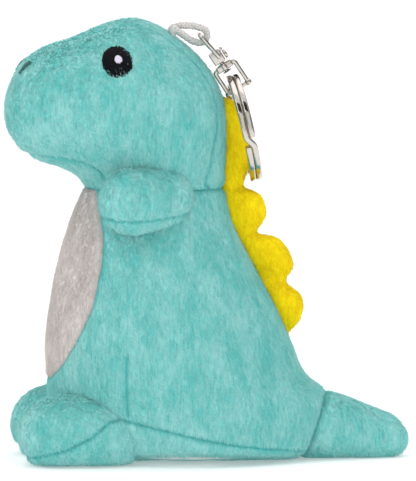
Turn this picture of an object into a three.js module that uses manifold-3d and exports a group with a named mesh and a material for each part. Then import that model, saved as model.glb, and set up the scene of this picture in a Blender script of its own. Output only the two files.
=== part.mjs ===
// Plush dinosaur keychain, in millimetres. +Z is up and the dinosaur faces -Y, with its left side on +X.
// The origin is on the surface that it stands on, under the middle of the plush.
// Every soft part is a bag of short-pile fabric panels round a filling of loose fibre. A cord loop
// sewn into the top of the head carries a riveted swivel, and the swivel carries a split ring.

import * as THREE from 'three';
import { mergeVertices } from 'three/addons/utils/BufferGeometryUtils.js';
import Module from 'manifold-3d';

const wasm = await Module();
wasm.setup();

// ---------------------------------------------------------------------------------------------
// Driving dimensions
// ---------------------------------------------------------------------------------------------

const GAP = 0.3;             // clearance kept between two pieces that touch
const FABRIC = 1.3;          // thickness of a fabric panel with its backing
const THREAD = 0.6;          // thickness of embroidered thread
const WELD = 0.002;          // corners nearer than this are one

const NECK_Z = 70;           // height of the neck seam
const BODY_HALF_WIDTH = 28;  // half of the body's greatest width
const HEAD_HALF_WIDTH = 24;  // half of the head's greatest width
const TAIL_HALF_WIDTH = 12;  // half of the tail's width at its seam
const GUSSET_HALF_WIDTH = 9; // half of the strip over the back of the head
const GUSSET_FOOT = -40;     // the strip's two ends, along the head's diagonal
const GUSSET_TOP = 34;
const CREST_HALF_WIDTH = 4.7;
const CREST_FABRIC = 1.0;
const ARM_RADIUS = 8.4;
const FOOT_HALF_WIDTH = 11.5;
const FOOT_X = 15;           // distance of a foot's middle from the centre plane
const EYE_RADIUS = 3.75;
const GLINT_RADIUS = 1.05;

const CORD_D = 1.7;
const BAR = 1.1;             // thickness of the swivel's bars
const EYE_WIDTH = 7.4;       // swivel eye, across its frame
const EYE_LENGTH = 7.6;      // swivel eye, from its top bar to its lower edge
const EYE_SLANT = 7.5;       // degrees between the eye's plate and the swivel's axis
const POST_D = 1.2;
const LINK_INNER = 4.8;      // clear width of the swivel's lower link
const RING_D = 28;           // split ring, outside
const WIRE_AXIAL = 3.2;      // both turns of the split ring's wire, side by side
const WIRE_RADIAL = 2.3;

const SWIVEL_LEAN = 33.4;    // degrees from hanging straight down, as it lies on the head
const RING_LEAN = 12.8;      // degrees from hanging straight down, as it lies on the crest

const ARM_SWING = 15;        // degrees each way that an arm gives at its seam
const TAIL_WAG = 15;         // degrees each way that the tail gives at its seam

// ---------------------------------------------------------------------------------------------
// Outlines. A station is one cross-section of a stuffed bag: two opposite points of it in the
// centre plane, as [y, z], and its half width as a share of the bag's greatest half width.
// ---------------------------------------------------------------------------------------------

// The head, from the tip of the nose over the crown to the neck. Heights are above the neck seam.
const HEAD_STATIONS = [
  [[-51.8, 20.2], [-51.8, 20.2], 0],
  [[-51.0, 25.2], [-51.2, 15.4], 0.36],
  [[-47.8, 31.4], [-48.2, 10.6], 0.60],
  [[-41.8, 35.6], [-43.4, 7.2], 0.78],
  [[-34.0, 38.2], [-38.6, 5.8], 0.89],
  [[-26.0, 41.5], [-35.2, 4.2], 0.97],
  [[-17.6, 42.6], [-33.3, 2.8], 1],
  [[-8.8, 38.7], [-32.4, 1.8], 0.99],
  [[-1.4, 31.9], [-32.0, 1.0], 0.94],
  [[3.6, 22.8], [-31.8, 0.4], 0.87],
  [[4.6, 11.5], [-31.7, 0.0], 0.79],
  [[4.0, 0.0], [-31.6, -1.0], 0.71],
  [[2.0, -7.0], [-29.5, -7.5], 0.56],
  [[-13.5, -11.0], [-13.5, -11.0], 0],
];

// The body, from inside the neck down to the base. Heights are shares of the neck's height.
const BODY_STATIONS = [
  [[-13.5, 1.17], [-13.5, 1.17], 0],
  [[-29.8, 1.09], [3.0, 1.09], 0.50],
  [[-31.6, 1.00], [4.0, 1.00], 0.61],
  [[-35.6, 0.86], [6.6, 0.86], 0.73],
  [[-38.6, 0.71], [12.0, 0.71], 0.84],
  [[-40.6, 0.56], [17.8, 0.56], 0.93],
  [[-41.5, 0.42], [21.6, 0.43], 0.98],
  [[-41.2, 0.28], [25.4, 0.31], 1],
  [[-40.2, 0.19], [31.0, 0.24], 0.99],
  [[-38.4, 0.10], [33.0, 0.13], 0.95],
  [[-33.0, 0.02], [27.0, 0.02], 0.84],
  [[-6.0, -0.008], [-6.0, -0.008], 0],
];

// The tail, from inside the body to its tip, as [y, z] above the base.
const TAIL_STATIONS = [
  [[16.0, 9.0], [16.0, 9.0], 0],
  [[22.5, 17.2], [21.5, 1.2], 0.86],
  [[30.6, 16.9], [27.0, 0.2], 1],
  [[36.4, 15.0], [34.6, -0.4], 0.86],
  [[42.2, 12.9], [42.4, -0.4], 0.68],
  [[47.8, 10.6], [48.4, 0.4], 0.50],
  [[50.8, 7.3], [51.0, 2.2], 0.28],
  [[51.8, 4.7], [51.8, 4.7], 0],
];

// A foot, from inside the body to its toe.
const FOOT_STATIONS = [
  [[-17.0, 8.0], [-17.0, 8.0], 0],
  [[-21.0, 14.6], [-21.0, 0.6], 0.68],
  [[-28.0, 17.4], [-28.0, -0.8], 0.92],
  [[-36.0, 18.2], [-36.0, -1.2], 1],
  [[-43.6, 16.4], [-43.4, -0.8], 0.88],
  [[-48.2, 12.0], [-47.8, 2.2], 0.58],
  [[-49.6, 7.0], [-49.6, 7.0], 0],
];

// An arm, from its shoulder to its rounded end, as a straight capsule between two points.
const SHOULDER = [12.0, -12.5, -2.0];   // x, y and the height from the neck seam
const HAND = [21.6, -21.2, -2.2];

// Seams in the side view, as [y, z] or, on the head, as [y, height above the neck seam].
const JAW_SEAM = [[-60, 9.6], [-43, 8.8], [-37, 8.2], [-32.5, 7], [-29.5, 5.4], [-27, 2.4], [-26, -9]];
const BELLY_SEAM = [[-29.6, 1.02], [-28.2, 0.83], [-28.8, 0.73], [-31.2, 0.58], [-35.2, 0.45], [-39.4, 0.34], [-44, 0.24]];
const BASE_SEAM = [[-60, 0.20], [-24, 0.175], [-5, 0.13], [12, 0.08], [26, 0.035], [60, 0.03]];
const TAIL_SEAM = [[30.2, 17.2], [23.9, 1.6]];

const SOLE_SEAM = [[-60, 1.6], [-46, 2.6], [-38, 5], [-32, 8], [-27, 12], [-10, 16]];
const ARM_SEAM = -5.5;       // an arm's seam, from the neck seam

// Places on the head, from the neck seam: y and z of an eye; x, y and z of a nostril and of the
// middle of the cord's anchor, whose top it is.
const EYE = [-24.7, 33.8];
const NOSTRIL = [6.5, -47.4, 31.2];
const NOSTRIL_LENGTH = 4.2;
const NOSTRIL_WIDTH = 0.9;
const NOSTRIL_TILT = 42;
const ANCHOR = [0.8, -9.2, 38.9];
const ANCHOR_DEPTH = 5;

// The cord's middle line, from end to end, with heights from the neck seam.
const CORD_POINTS = [
  [0.0, -9.4, 40.2], [0.0, -8.4, 40.9], [0.0, -6.6, 41.3], [0.0, -4.2, 41.2], [0.0, -2.2, 40.8],
  [0.0, -0.5, 40.0], [0.0, -0.1, 38.7], [0.1, -0.7, 37.4], [0.4, -2.0, 36.8], [0.9, -3.6, 37.2],
  [1.5, -5.2, 38.1], [1.9, -6.8, 39.3], [2.0, -8.2, 40.1], [1.9, -9.0, 40.3],
];
const EYE_BAR = [-2.1, 38.8];  // y of the swivel's top bar and its height from the neck seam

// Swivel, along its axis from the middle of its top bar
const EYE_HOLE = 4.2;
const AXIS_Y = 0.85;           // the post, out from the top bar
const BARREL_TOP = 5.6;
const BARREL_BOTTOM = 8.9;
const BARREL_X = 2.0;
const BARREL_IN = 1.9;
const BARREL_OUT = 1.3;
const POST_TOP = 6.4;
const POST_HEAD = 0.4;
const LINK_TOP = 9.5;
const LINK_THICK = 1.7;
const LINK_HALF_X = 1.3;
const SLIT = 0.2;

// The crest down the back, four lobes with a notch between each two. The second point of a station
// is the scalloped edge. Heights are shares of the neck's height.
const CREST_STATIONS = [
  [[3.6, 1.335], [3.6, 1.335], 0],
  [[1.0, 1.29], [8.4, 1.29], 0.72],
  [[0.0, 1.19], [11.3, 1.205], 0.86],
  [[0.0, 1.09], [10.9, 1.095], 0.86],
  [[1.0, 1.005], [9.3, 1.002], 0.7],
  [[2.0, 0.95], [13.8, 0.965], 0.95],
  [[3.0, 0.885], [15.2, 0.895], 1],
  [[5.0, 0.83], [12.9, 0.832], 0.7],
  [[7.0, 0.79], [18.6, 0.802], 0.95],
  [[9.0, 0.73], [22.0, 0.715], 1],
  [[11.0, 0.675], [20.2, 0.648], 0.7],
  [[13.0, 0.61], [24.2, 0.592], 1],
  [[15.0, 0.54], [24.0, 0.52], 0.9],
  [[20.0, 0.44], [20.0, 0.44], 0],
];

// ---------------------------------------------------------------------------------------------
// Geometry helpers
// ---------------------------------------------------------------------------------------------

const radians = THREE.MathUtils.degToRad;

function welded(geometry) {
  const bare = geometry.clone();
  for (const name of Object.keys(bare.attributes)) {
    if (name !== 'position') bare.deleteAttribute(name);
  }
  return mergeVertices(bare, 1e-4);
}

function signedVolume(geometry) {
  const position = geometry.attributes.position;
  const index = geometry.index.array;
  const [a, b, c] = [new THREE.Vector3(), new THREE.Vector3(), new THREE.Vector3()];
  let sum = 0;
  for (let i = 0; i < index.length; i += 3) {
    a.fromBufferAttribute(position, index[i]);
    b.fromBufferAttribute(position, index[i + 1]);
    c.fromBufferAttribute(position, index[i + 2]);
    sum += a.dot(b.cross(c)) / 6;
  }
  return sum;
}

// A closed geometry as a manifold solid, turned so that its faces point out.
function solid(geometry) {
  const closed = welded(geometry);
  const triVerts = Uint32Array.from(closed.index.array);
  if (signedVolume(closed) < 0) {
    for (let i = 0; i < triVerts.length; i += 3) {
      [triVerts[i], triVerts[i + 1]] = [triVerts[i + 1], triVerts[i]];
    }
  }
  const vertProperties = Float32Array.from(closed.attributes.position.array);
  return new wasm.Manifold(new wasm.Mesh({ numProp: 3, vertProperties, triVerts }));
}

// A solid's triangles as a geometry, with corners nearer than WELD made one.
function geometryOf(body) {
  const mesh = body.getMesh();
  const geometry = new THREE.BufferGeometry();
  geometry.setAttribute('position', new THREE.Float32BufferAttribute(mesh.vertProperties, 3));
  geometry.setIndex(new THREE.Uint32BufferAttribute(mesh.triVerts, 1));
  const joinedUp = mergeVertices(geometry, WELD);
  const index = joinedUp.index.array;
  const kept = [];
  for (let i = 0; i < index.length; i += 3) {
    const [a, b, c] = index.slice(i, i + 3);
    if (a !== b && b !== c && c !== a) kept.push(a, b, c);
  }
  joinedUp.setIndex(kept);
  return joinedUp;
}

// The largest closed piece of a cut body: slivers that a cut leaves behind are dropped.
function largest(body) {
  const pieces = body.decompose();
  return pieces.reduce((best, piece) => (piece.volume() > best.volume() ? piece : best));
}

function splineThrough(points) {
  return new THREE.CatmullRomCurve3(points.map((p) => new THREE.Vector3(...p)), false, 'centripetal');
}

// A stuffed bag: an oval section carried through the stations, closed at both ends. A taper makes
// the oval an egg, with its narrow end at the second point of each station.
function bag(stations, halfWidth, { around = 20, along = 14, place = (p) => p, x = 0, taper = 0 } = {}) {
  const upper = splineThrough(stations.map(([top]) => [0, ...place(top)]));
  const lower = splineThrough(stations.map(([, bottom]) => [0, ...place(bottom)]));
  const widths = splineThrough(stations.map(([, , share], i) => [i, share, 0]));
  const geometry = new THREE.SphereGeometry(1, around, along);
  const position = geometry.attributes.position;
  const [top, bottom, point] = [new THREE.Vector3(), new THREE.Vector3(), new THREE.Vector3()];
  for (let row = 0; row <= along; row++) {
    const t = row / along;
    upper.getPoint(t, top);
    lower.getPoint(t, bottom);
    const share = row === 0 || row === along ? 0 : Math.max(widths.getPoint(t).y, 0.02);
    for (let column = 0; column <= around; column++) {
      const turn = (2 * Math.PI * (column % around)) / around;
      point.lerpVectors(bottom, top, (1 + Math.cos(turn)) / 2);
      const narrowed = 1 - taper * Math.max(-Math.cos(turn), 0) ** 2;
      point.x = x + halfWidth * share * narrowed * Math.sin(turn);
      position.setXYZ(row * (around + 1) + column, point.x, point.y, point.z);
    }
  }
  return welded(geometry);
}

// A capsule between two points, with round ends.
function capsule(from, to, radius, around = 18, cap = 6) {
  const start = new THREE.Vector3(...from);
  const end = new THREE.Vector3(...to);
  const geometry = new THREE.CapsuleGeometry(radius, start.distanceTo(end), cap, around);
  const direction = end.clone().sub(start).normalize();
  geometry.applyQuaternion(new THREE.Quaternion().setFromUnitVectors(new THREE.Vector3(0, 1, 0), direction));
  geometry.translate(...start.add(end).multiplyScalar(0.5).toArray());
  return welded(geometry);
}

// A closed surface moved along its own normals, outwards where distance is positive.
function offset(geometry, distance) {
  const moved = geometry.clone();
  const outward = signedVolume(geometry) > 0 ? 1 : -1;
  moved.computeVertexNormals();
  const [position, normal] = [moved.attributes.position, moved.attributes.normal];
  for (let i = 0; i < position.count; i++) {
    position.setXYZ(
      i,
      position.getX(i) + normal.getX(i) * distance * outward,
      position.getY(i) + normal.getY(i) * distance * outward,
      position.getZ(i) + normal.getZ(i) * distance * outward,
    );
  }
  return moved;
}

// An outline in the side view, [y, z] points in order, extruded across from x0 to x1.
function sidePrism(outline, x0 = -80, x1 = 80) {
  const shape = new THREE.Shape(outline.map(([y, z]) => new THREE.Vector2(y, z)));
  const geometry = new THREE.ExtrudeGeometry(shape, { depth: x1 - x0, bevelEnabled: false });
  const [y, z, x] = [new THREE.Vector3(0, 1, 0), new THREE.Vector3(0, 0, 1), new THREE.Vector3(1, 0, 0)];
  geometry.applyMatrix4(new THREE.Matrix4().makeBasis(y, z, x));
  geometry.translate(x0, 0, 0);
  return solid(geometry);
}

// A closed profile of [radius, height] points turned about the z axis.
function turned(profile, segments = 36) {
  const points = [...profile, profile[0]].map(([r, z]) => new THREE.Vector2(r, z));
  const geometry = new THREE.LatheGeometry(points, segments);
  geometry.rotateX(Math.PI / 2);
  return solid(geometry);
}

function box(x0, x1, y0, y1, z0, z1) {
  const geometry = new THREE.BoxGeometry(x1 - x0, y1 - y0, z1 - z0);
  geometry.translate((x0 + x1) / 2, (y0 + y1) / 2, (z0 + z1) / 2);
  return solid(geometry);
}

// A cylinder along 'x', 'y' or 'z' through a point, between two places on that axis.
function rod(axis, radius, from, to, centre, segments = 16) {
  const geometry = new THREE.CylinderGeometry(radius, radius, to - from, segments);
  if (axis === 'x') geometry.rotateZ(Math.PI / 2);
  if (axis === 'z') geometry.rotateX(Math.PI / 2);
  const middle = { x: centre[0], y: centre[1], z: centre[2] };
  middle[axis] = (from + to) / 2;
  geometry.translate(middle.x, middle.y, middle.z);
  return solid(geometry);
}

function joined(...bodies) {
  return bodies.reduce((sum, body) => sum.add(body));
}

// A body turned about an axis through a point, for the room that a moving neighbour needs.
function turnedAbout(body, point, axis, degrees) {
  const turn = new THREE.Matrix4().makeRotationAxis(axis, radians(degrees));
  const there = new THREE.Matrix4().makeTranslation(...point);
  const back = new THREE.Matrix4().makeTranslation(...point.map((value) => -value));
  return body.transform([...there.multiply(turn).multiply(back).elements]);
}

function clearOf(body, neighbour, point, axis, reach) {
  const turns = [-reach, 0, reach];
  return turns.reduce((left, degrees) => left.subtract(turnedAbout(neighbour, point, axis, degrees)), body);
}

// ---------------------------------------------------------------------------------------------
// Materials
// ---------------------------------------------------------------------------------------------

const finish = (color, roughness, metalness = 0) => new THREE.MeshStandardMaterial({ color, roughness, metalness });
const TEAL = finish(0x86c8c3, 0.95);
const WHITE = finish(0xc9c3c0, 0.95);
const YELLOW = finish(0xecd51c, 0.95);
const FIBRE = finish(0xf2f2ee, 1);
const BLACK_THREAD = finish(0x08080c, 0.7);
const PALE_THREAD = finish(0xe9e4ee, 0.7);
const GREY_THREAD = finish(0x6f8a8c, 0.8);
const CORD = finish(0xdcd8d4, 0.8);
const NICKEL = finish(0xc9c5bd, 0.18, 1);

const plush = new THREE.Group();

function piece(name, body, material, parent = plush) {
  const mesh = new THREE.Mesh(geometryOf(body), material);
  mesh.name = name;
  parent.add(mesh);
  return mesh;
}

// ---------------------------------------------------------------------------------------------
// Stuffed bags: the outer surface, the room inside the fabric, and the filling
// ---------------------------------------------------------------------------------------------

const onNeck = ([y, z]) => [y, z + NECK_Z];
const onBody = ([y, z]) => [y, z * NECK_Z];

function stuffed(surface) {
  return {
    outer: solid(surface),
    near: solid(offset(surface, GAP)),
    inner: solid(offset(surface, -FABRIC)),
    filling: solid(offset(surface, -FABRIC - GAP)),
    surface,
  };
}

const headBag = stuffed(bag(HEAD_STATIONS, HEAD_HALF_WIDTH, { around: 18, along: 18, place: onNeck }));
const bodyBag = stuffed(bag(BODY_STATIONS, BODY_HALF_WIDTH, { around: 20, along: 15, place: onBody, taper: 0.3 }));
const tailBag = stuffed(bag(TAIL_STATIONS, TAIL_HALF_WIDTH, { around: 12, along: 10 }));

const FAR = 200;
const above = (z) => box(-FAR, FAR, -FAR, FAR, z, FAR);
const below = (z) => box(-FAR, FAR, -FAR, FAR, -FAR, z);
const leftOf = (x) => box(x, FAR, -FAR, FAR, -FAR, FAR);
const rightOf = (x) => box(-FAR, x, -FAR, FAR, -FAR, FAR);

// Everything behind a seam line drawn in the side view, moved along y by a small distance.
function behind(seam, shift) {
  const line = seam.map(([y, z]) => [y + shift, z]);
  const [first, last] = [line[0], line[line.length - 1]];
  return sidePrism([...line, [last[0], -FAR], [FAR, -FAR], [FAR, FAR], [first[0], FAR]]);
}

// Everything above a seam line drawn in the side view, moved up by a small distance.
function over(seam, shift) {
  const line = seam.map(([y, z]) => [y, z + shift]);
  return sidePrism([[-FAR, line[0][1]], ...line, [FAR, line[line.length - 1][1]], [FAR, FAR], [-FAR, FAR]]);
}

const everything = box(-FAR, FAR, -FAR, FAR, -FAR, FAR);
const smooth = (points, count) =>
  splineThrough(points.map(([y, z]) => [0, y, z])).getPoints(count).map((p) => [p.y, p.z]);

// ---------------------------------------------------------------------------------------------
// Head: two sides, a gusset over the back and a chin panel
// ---------------------------------------------------------------------------------------------

function cordTube(radius) {
  const route = splineThrough(CORD_POINTS.map(([x, y, z]) => [x, y, z + NECK_Z]));
  const section = new THREE.Shape();
  section.absarc(0, 0, radius, 0, 2 * Math.PI);
  return solid(new THREE.ExtrudeGeometry(section, { steps: 28, extrudePath: route, curveSegments: 4 }));
}

const headShell = headBag.outer.subtract(headBag.inner).intersect(above(NECK_Z + GAP / 2));

// The gusset is a tapering strip cut through the back and crown of the head, seen along a diagonal.
function gussetCut(extra) {
  const half = GUSSET_HALF_WIDTH + extra;
  const shape = new THREE.Shape();
  shape.moveTo(-half, GUSSET_FOOT);
  shape.lineTo(half, GUSSET_FOOT);
  shape.lineTo(half, 4);
  shape.quadraticCurveTo(half, GUSSET_TOP * 0.7, 0, GUSSET_TOP + extra);
  shape.quadraticCurveTo(-half, GUSSET_TOP * 0.7, -half, 4);
  const geometry = new THREE.ExtrudeGeometry(shape, { depth: 60, bevelEnabled: false, curveSegments: 6 });
  const diagonal = new THREE.Vector3(0, 1, 1).normalize();
  const up = new THREE.Vector3(0, -1, 1).normalize();
  geometry.applyMatrix4(new THREE.Matrix4().makeBasis(new THREE.Vector3(-1, 0, 0), up, diagonal));
  geometry.translate(0, -16, NECK_Z + 16);
  return solid(geometry);
}

const jawSeam = smooth(JAW_SEAM.map(onNeck), 12);
const belowJaw = (shift) =>
  everything.subtract(over(jawSeam, shift)).intersect(everything.subtract(behind(jawSeam, shift)));
const chin = headShell.intersect(belowJaw(-GAP / 2));
const headRest = headShell.subtract(belowJaw(GAP / 2));
const headSides = headRest.subtract(gussetCut(GAP / 2));

// The cord's two ends come out of the crown side by side, through a stitched slit in the gusset.
const anchorTop = NECK_Z + ANCHOR[2];
const anchorAt = [ANCHOR[0], ANCHOR[1], 0];
const anchorHole = rod('z', CORD_D + GAP, anchorTop - ANCHOR_DEPTH - GAP, anchorTop + 10, anchorAt);

piece('head_side_left', largest(headSides.intersect(leftOf(GAP / 2))), TEAL);
piece('head_side_right', largest(headSides.intersect(rightOf(-GAP / 2))), TEAL);
piece('chin_panel', largest(chin), TEAL);
piece('head_gusset', largest(headRest.intersect(gussetCut(-GAP / 2)).subtract(anchorHole)), TEAL);
piece('head_filling', headBag.filling.intersect(above(NECK_Z + GAP / 2)).subtract(anchorHole), FIBRE);
const anchor = rod('z', CORD_D, anchorTop - ANCHOR_DEPTH, anchorTop, anchorAt, 12);
piece('cord_anchor', largest(anchor.subtract(cordTube(CORD_D / 2 + GAP / 2))), CORD);

// A thin patch of thread that follows the head's surface inside a cutter, at a height above the fabric.
function stitched(cutter, lift) {
  const thread = solid(offset(headBag.surface, lift + THREAD)).subtract(solid(offset(headBag.surface, lift)));
  return largest(thread.intersect(cutter));
}

for (const [side, sign] of [['left', 1], ['right', -1]]) {
  const [from, to] = sign > 0 ? [5, 60] : [-60, -5];
  const eyeAt = [0, EYE[0], NECK_Z + EYE[1]];
  const glintAt = [0, EYE[0] - 0.2, NECK_Z + EYE[1] + 0.3];
  piece(`eye_${side}`, stitched(rod('x', EYE_RADIUS, from, to, eyeAt, 20), GAP), BLACK_THREAD);
  piece(`eye_glint_${side}`, stitched(rod('x', GLINT_RADIUS, from, to, glintAt, 10), 2 * GAP + THREAD), PALE_THREAD);
  const slot = new THREE.BoxGeometry(NOSTRIL_WIDTH, NOSTRIL_LENGTH, 8);
  slot.rotateX(radians(NOSTRIL_TILT));
  slot.translate(sign * NOSTRIL[0], NOSTRIL[1], NECK_Z + NOSTRIL[2]);
  piece(`nostril_${side}`, stitched(solid(slot), GAP), GREY_THREAD);
}

// ---------------------------------------------------------------------------------------------
// Body: two sides, a white belly and a base that closes the bag and rests on the table
// ---------------------------------------------------------------------------------------------

const tailLine = (shift) => {
  const [top, bottom] = TAIL_SEAM;
  const slope = (top[0] - bottom[0]) / (top[1] - bottom[1]);
  const y = (z) => bottom[0] + slope * (z - bottom[1]);
  return behind([[y(60), 60], [y(-20), -20]], shift);
};
const bodyRoom = below(NECK_Z - GAP / 2).intersect(above(0)).subtract(tailLine(-GAP / 2));
const bodyShell = bodyBag.outer.subtract(bodyBag.inner).intersect(bodyRoom);
const bellySeam = smooth(BELLY_SEAM.map(onBody), 12);
const baseSeam = smooth(BASE_SEAM.map(onBody), 12);
const inFront = (shift) => everything.subtract(behind(bellySeam, shift));
const underneath = (shift) => everything.subtract(over(baseSeam, shift));

const sides = bodyShell.subtract(inFront(GAP / 2)).subtract(underneath(GAP / 2));
piece('body_side_left', largest(sides.intersect(leftOf(GAP / 2))), TEAL);
piece('body_side_right', largest(sides.intersect(rightOf(-GAP / 2))), TEAL);
piece('belly_panel', largest(bodyShell.intersect(inFront(-GAP / 2)).subtract(underneath(GAP / 2))), WHITE);
piece('base_panel', largest(bodyShell.intersect(underneath(-GAP / 2))), TEAL);
piece('body_filling', bodyBag.filling.intersect(bodyRoom).intersect(above(FABRIC + GAP)), FIBRE);

const neighbours = bodyBag.near.add(headBag.near);

// ---------------------------------------------------------------------------------------------
// Tail: two sides round a filling, with room at its seam to wag
// ---------------------------------------------------------------------------------------------

const tailPivot = [0, (TAIL_SEAM[0][0] + TAIL_SEAM[1][0]) / 2, (TAIL_SEAM[0][1] + TAIL_SEAM[1][1]) / 2];
const tailAxis = new THREE.Vector3(
  0, TAIL_SEAM[0][0] - TAIL_SEAM[1][0], TAIL_SEAM[0][1] - TAIL_SEAM[1][1],
).normalize();
const frontOfTail = everything.subtract(tailLine(GAP / 2));
const tailRoom = clearOf(above(0), frontOfTail, tailPivot, tailAxis, TAIL_WAG);
const tailShell = tailBag.outer.subtract(tailBag.inner).intersect(tailRoom);
piece('tail_side_left', largest(tailShell.intersect(leftOf(GAP / 2))), TEAL);
piece('tail_side_right', largest(tailShell.intersect(rightOf(-GAP / 2))), TEAL);
piece('tail_filling', largest(tailBag.filling.intersect(tailRoom).intersect(above(FABRIC + GAP))), FIBRE);

// ---------------------------------------------------------------------------------------------
// Feet: an upper and a sole round a filling
// ---------------------------------------------------------------------------------------------

for (const [side, sign] of [['left', 1], ['right', -1]]) {
  const foot = stuffed(bag(FOOT_STATIONS, FOOT_HALF_WIDTH, { around: 14, along: 9, x: sign * FOOT_X }));
  const room = above(0).subtract(bodyBag.near);
  const shell = foot.outer.subtract(foot.inner).intersect(room);
  const soleSeam = smooth(SOLE_SEAM, 8);
  piece(`foot_upper_${side}`, largest(shell.intersect(over(soleSeam, GAP / 2))), TEAL);
  piece(`foot_sole_${side}`, largest(shell.subtract(over(soleSeam, -GAP / 2))), TEAL);
  piece(`foot_filling_${side}`, largest(foot.filling.intersect(room).intersect(above(FABRIC + GAP))), FIBRE);
}

// ---------------------------------------------------------------------------------------------
// Arms: an upper and a lower half round a filling, with room to swing at the shoulder
// ---------------------------------------------------------------------------------------------

const acrossX = new THREE.Vector3(1, 0, 0);
for (const [side, sign] of [['left', 1], ['right', -1]]) {
  const at = ([x, y, z]) => [sign * x, y, NECK_Z + z];
  const arm = stuffed(capsule(at(SHOULDER), at(HAND), ARM_RADIUS, 14, 4));
  const room = clearOf(everything, neighbours, at(SHOULDER), acrossX, ARM_SWING);
  const shell = arm.outer.subtract(arm.inner).intersect(room);
  const seamZ = NECK_Z + ARM_SEAM;
  piece(`arm_upper_${side}`, largest(shell.intersect(above(seamZ + GAP / 2))), TEAL);
  piece(`arm_lower_${side}`, largest(shell.intersect(below(seamZ - GAP / 2))), TEAL);
  piece(`arm_filling_${side}`, largest(arm.filling.intersect(room)), FIBRE);
}

// ---------------------------------------------------------------------------------------------
// Cord loop: out of the crown, round the swivel's top bar and back
// ---------------------------------------------------------------------------------------------

piece('cord_loop', cordTube(CORD_D / 2), CORD);

// ---------------------------------------------------------------------------------------------
// Swivel, in its own frame: it hangs from its top bar along -z, and +y faces away from the head
// ---------------------------------------------------------------------------------------------

const swivel = new THREE.Group();
swivel.position.set(0, EYE_BAR[0], NECK_Z + EYE_BAR[1]);
swivel.rotation.x = radians(SWIVEL_LEAN);
plush.add(swivel);

const halfEye = EYE_WIDTH / 2;
const eyePlate = joined(
  rod('x', BAR / 2, -halfEye, halfEye, [0, 0, 0], 10),
  box(halfEye - BAR, halfEye, -BAR / 2, BAR / 2, -EYE_HOLE - BAR, 0),
  box(-halfEye, BAR - halfEye, -BAR / 2, BAR / 2, -EYE_HOLE - BAR, 0),
  box(-halfEye, halfEye, -BAR / 2, BAR / 2, -EYE_LENGTH, -EYE_HOLE),
);
const slanted = turnedAbout(eyePlate, [0, 0, 0], acrossX, EYE_SLANT);
const postHole = rod('z', POST_D / 2 + GAP, -LINK_TOP - 6, -POST_TOP + GAP, [0, AXIS_Y, 0], 12);
const barrel = box(-BARREL_X, BARREL_X, AXIS_Y - BARREL_IN, AXIS_Y + BARREL_OUT, -BARREL_BOTTOM, -BARREL_TOP);
piece('swivel_eye', slanted.add(barrel).subtract(postHole), NICKEL, swivel);

// Two rivet heads close the folded plate, on its outer face.
const outerFace = AXIS_Y + BARREL_OUT + GAP;
const rivetHead = (radius, height, z) => rod('y', radius, outerFace, outerFace + height, [0, 0, z], 12);
piece('swivel_nut', rivetHead(1.15, 0.9, -BARREL_BOTTOM + 1.25), NICKEL, swivel);
piece('swivel_rivet', rivetHead(0.5, 0.6, -BARREL_TOP - 0.3), NICKEL, swivel);

// The post hangs in the barrel and its head carries the link, which turns on it.
const linkHead = LINK_TOP + LINK_THICK + GAP;
const post = joined(
  rod('z', POST_D / 2, -linkHead - 0.1, -POST_TOP, [0, AXIS_Y, 0], 12),
  rod('z', POST_D / 2 + 0.7, -linkHead - POST_HEAD, -linkHead, [0, AXIS_Y, 0], 14),
);
piece('swivel_post', post, NICKEL, swivel);

const halfLink = LINK_INNER / 2;
const wireRoom = Math.hypot(WIRE_AXIAL, WIRE_RADIAL) / 2 + GAP;
const wireAt = linkHead + POST_HEAD + wireRoom;
const linkBar = wireAt + wireRoom + BAR / 2;

// The link: a crosspiece with a boss, two legs, and the bar with its knobs that the ring hangs on.
// Extra thickens it all round, for the room that it needs.
function bow(extra) {
  const wire = BAR / 2 + extra;
  const [near, far] = [AXIS_Y - halfLink - BAR / 2, AXIS_Y + halfLink + BAR / 2];
  const leg = (y) => box(-wire, wire, y - wire, y + wire, -linkBar, -LINK_TOP);
  const knob = (y) => {
    const geometry = new THREE.SphereGeometry(BAR * 0.85 + extra, 10, 8);
    geometry.translate(0, y, -linkBar);
    return solid(geometry);
  };
  const halfX = LINK_HALF_X + extra;
  return joined(
    box(-halfX, halfX, near - wire, far + wire, -LINK_TOP - LINK_THICK - extra, -LINK_TOP + extra),
    rod('z', POST_D / 2 + GAP + 0.6, -LINK_TOP - LINK_THICK, -LINK_TOP + 0.15, [0, AXIS_Y, 0], 14),
    leg(near),
    leg(far),
    rod('y', wire, near, far, [0, 0, -linkBar], 10),
    knob(near),
    knob(far),
  );
}
piece('swivel_link', bow(0).subtract(postHole), NICKEL, swivel);

// Split ring: two turns of flat wire side by side, with the slit between them inside and out.
const ring = new THREE.Group();
ring.position.set(0, AXIS_Y, -wireAt);
ring.rotation.x = radians(RING_LEAN - SWIVEL_LEAN);
swivel.add(ring);

function splitRing(extra) {
  const [rimOut, rimIn] = [RING_D / 2 + extra, RING_D / 2 - WIRE_RADIAL - extra];
  const half = WIRE_AXIAL / 2 + extra;
  const body = turned([
    [rimIn, -half], [rimOut, -half], [rimOut, -SLIT], [rimOut - SLIT * 2, 0], [rimOut, SLIT],
    [rimOut, half], [rimIn, half], [rimIn, 0],
  ]);
  return body.rotate([90, 0, 0]).translate([0, 0, -(RING_D - WIRE_RADIAL) / 2]);
}
piece('split_ring', splitRing(0), NICKEL, ring);

// ---------------------------------------------------------------------------------------------
// Crest: one row of lobes down the back, sewn from a left and a right face over a thin filling
// ---------------------------------------------------------------------------------------------

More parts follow.
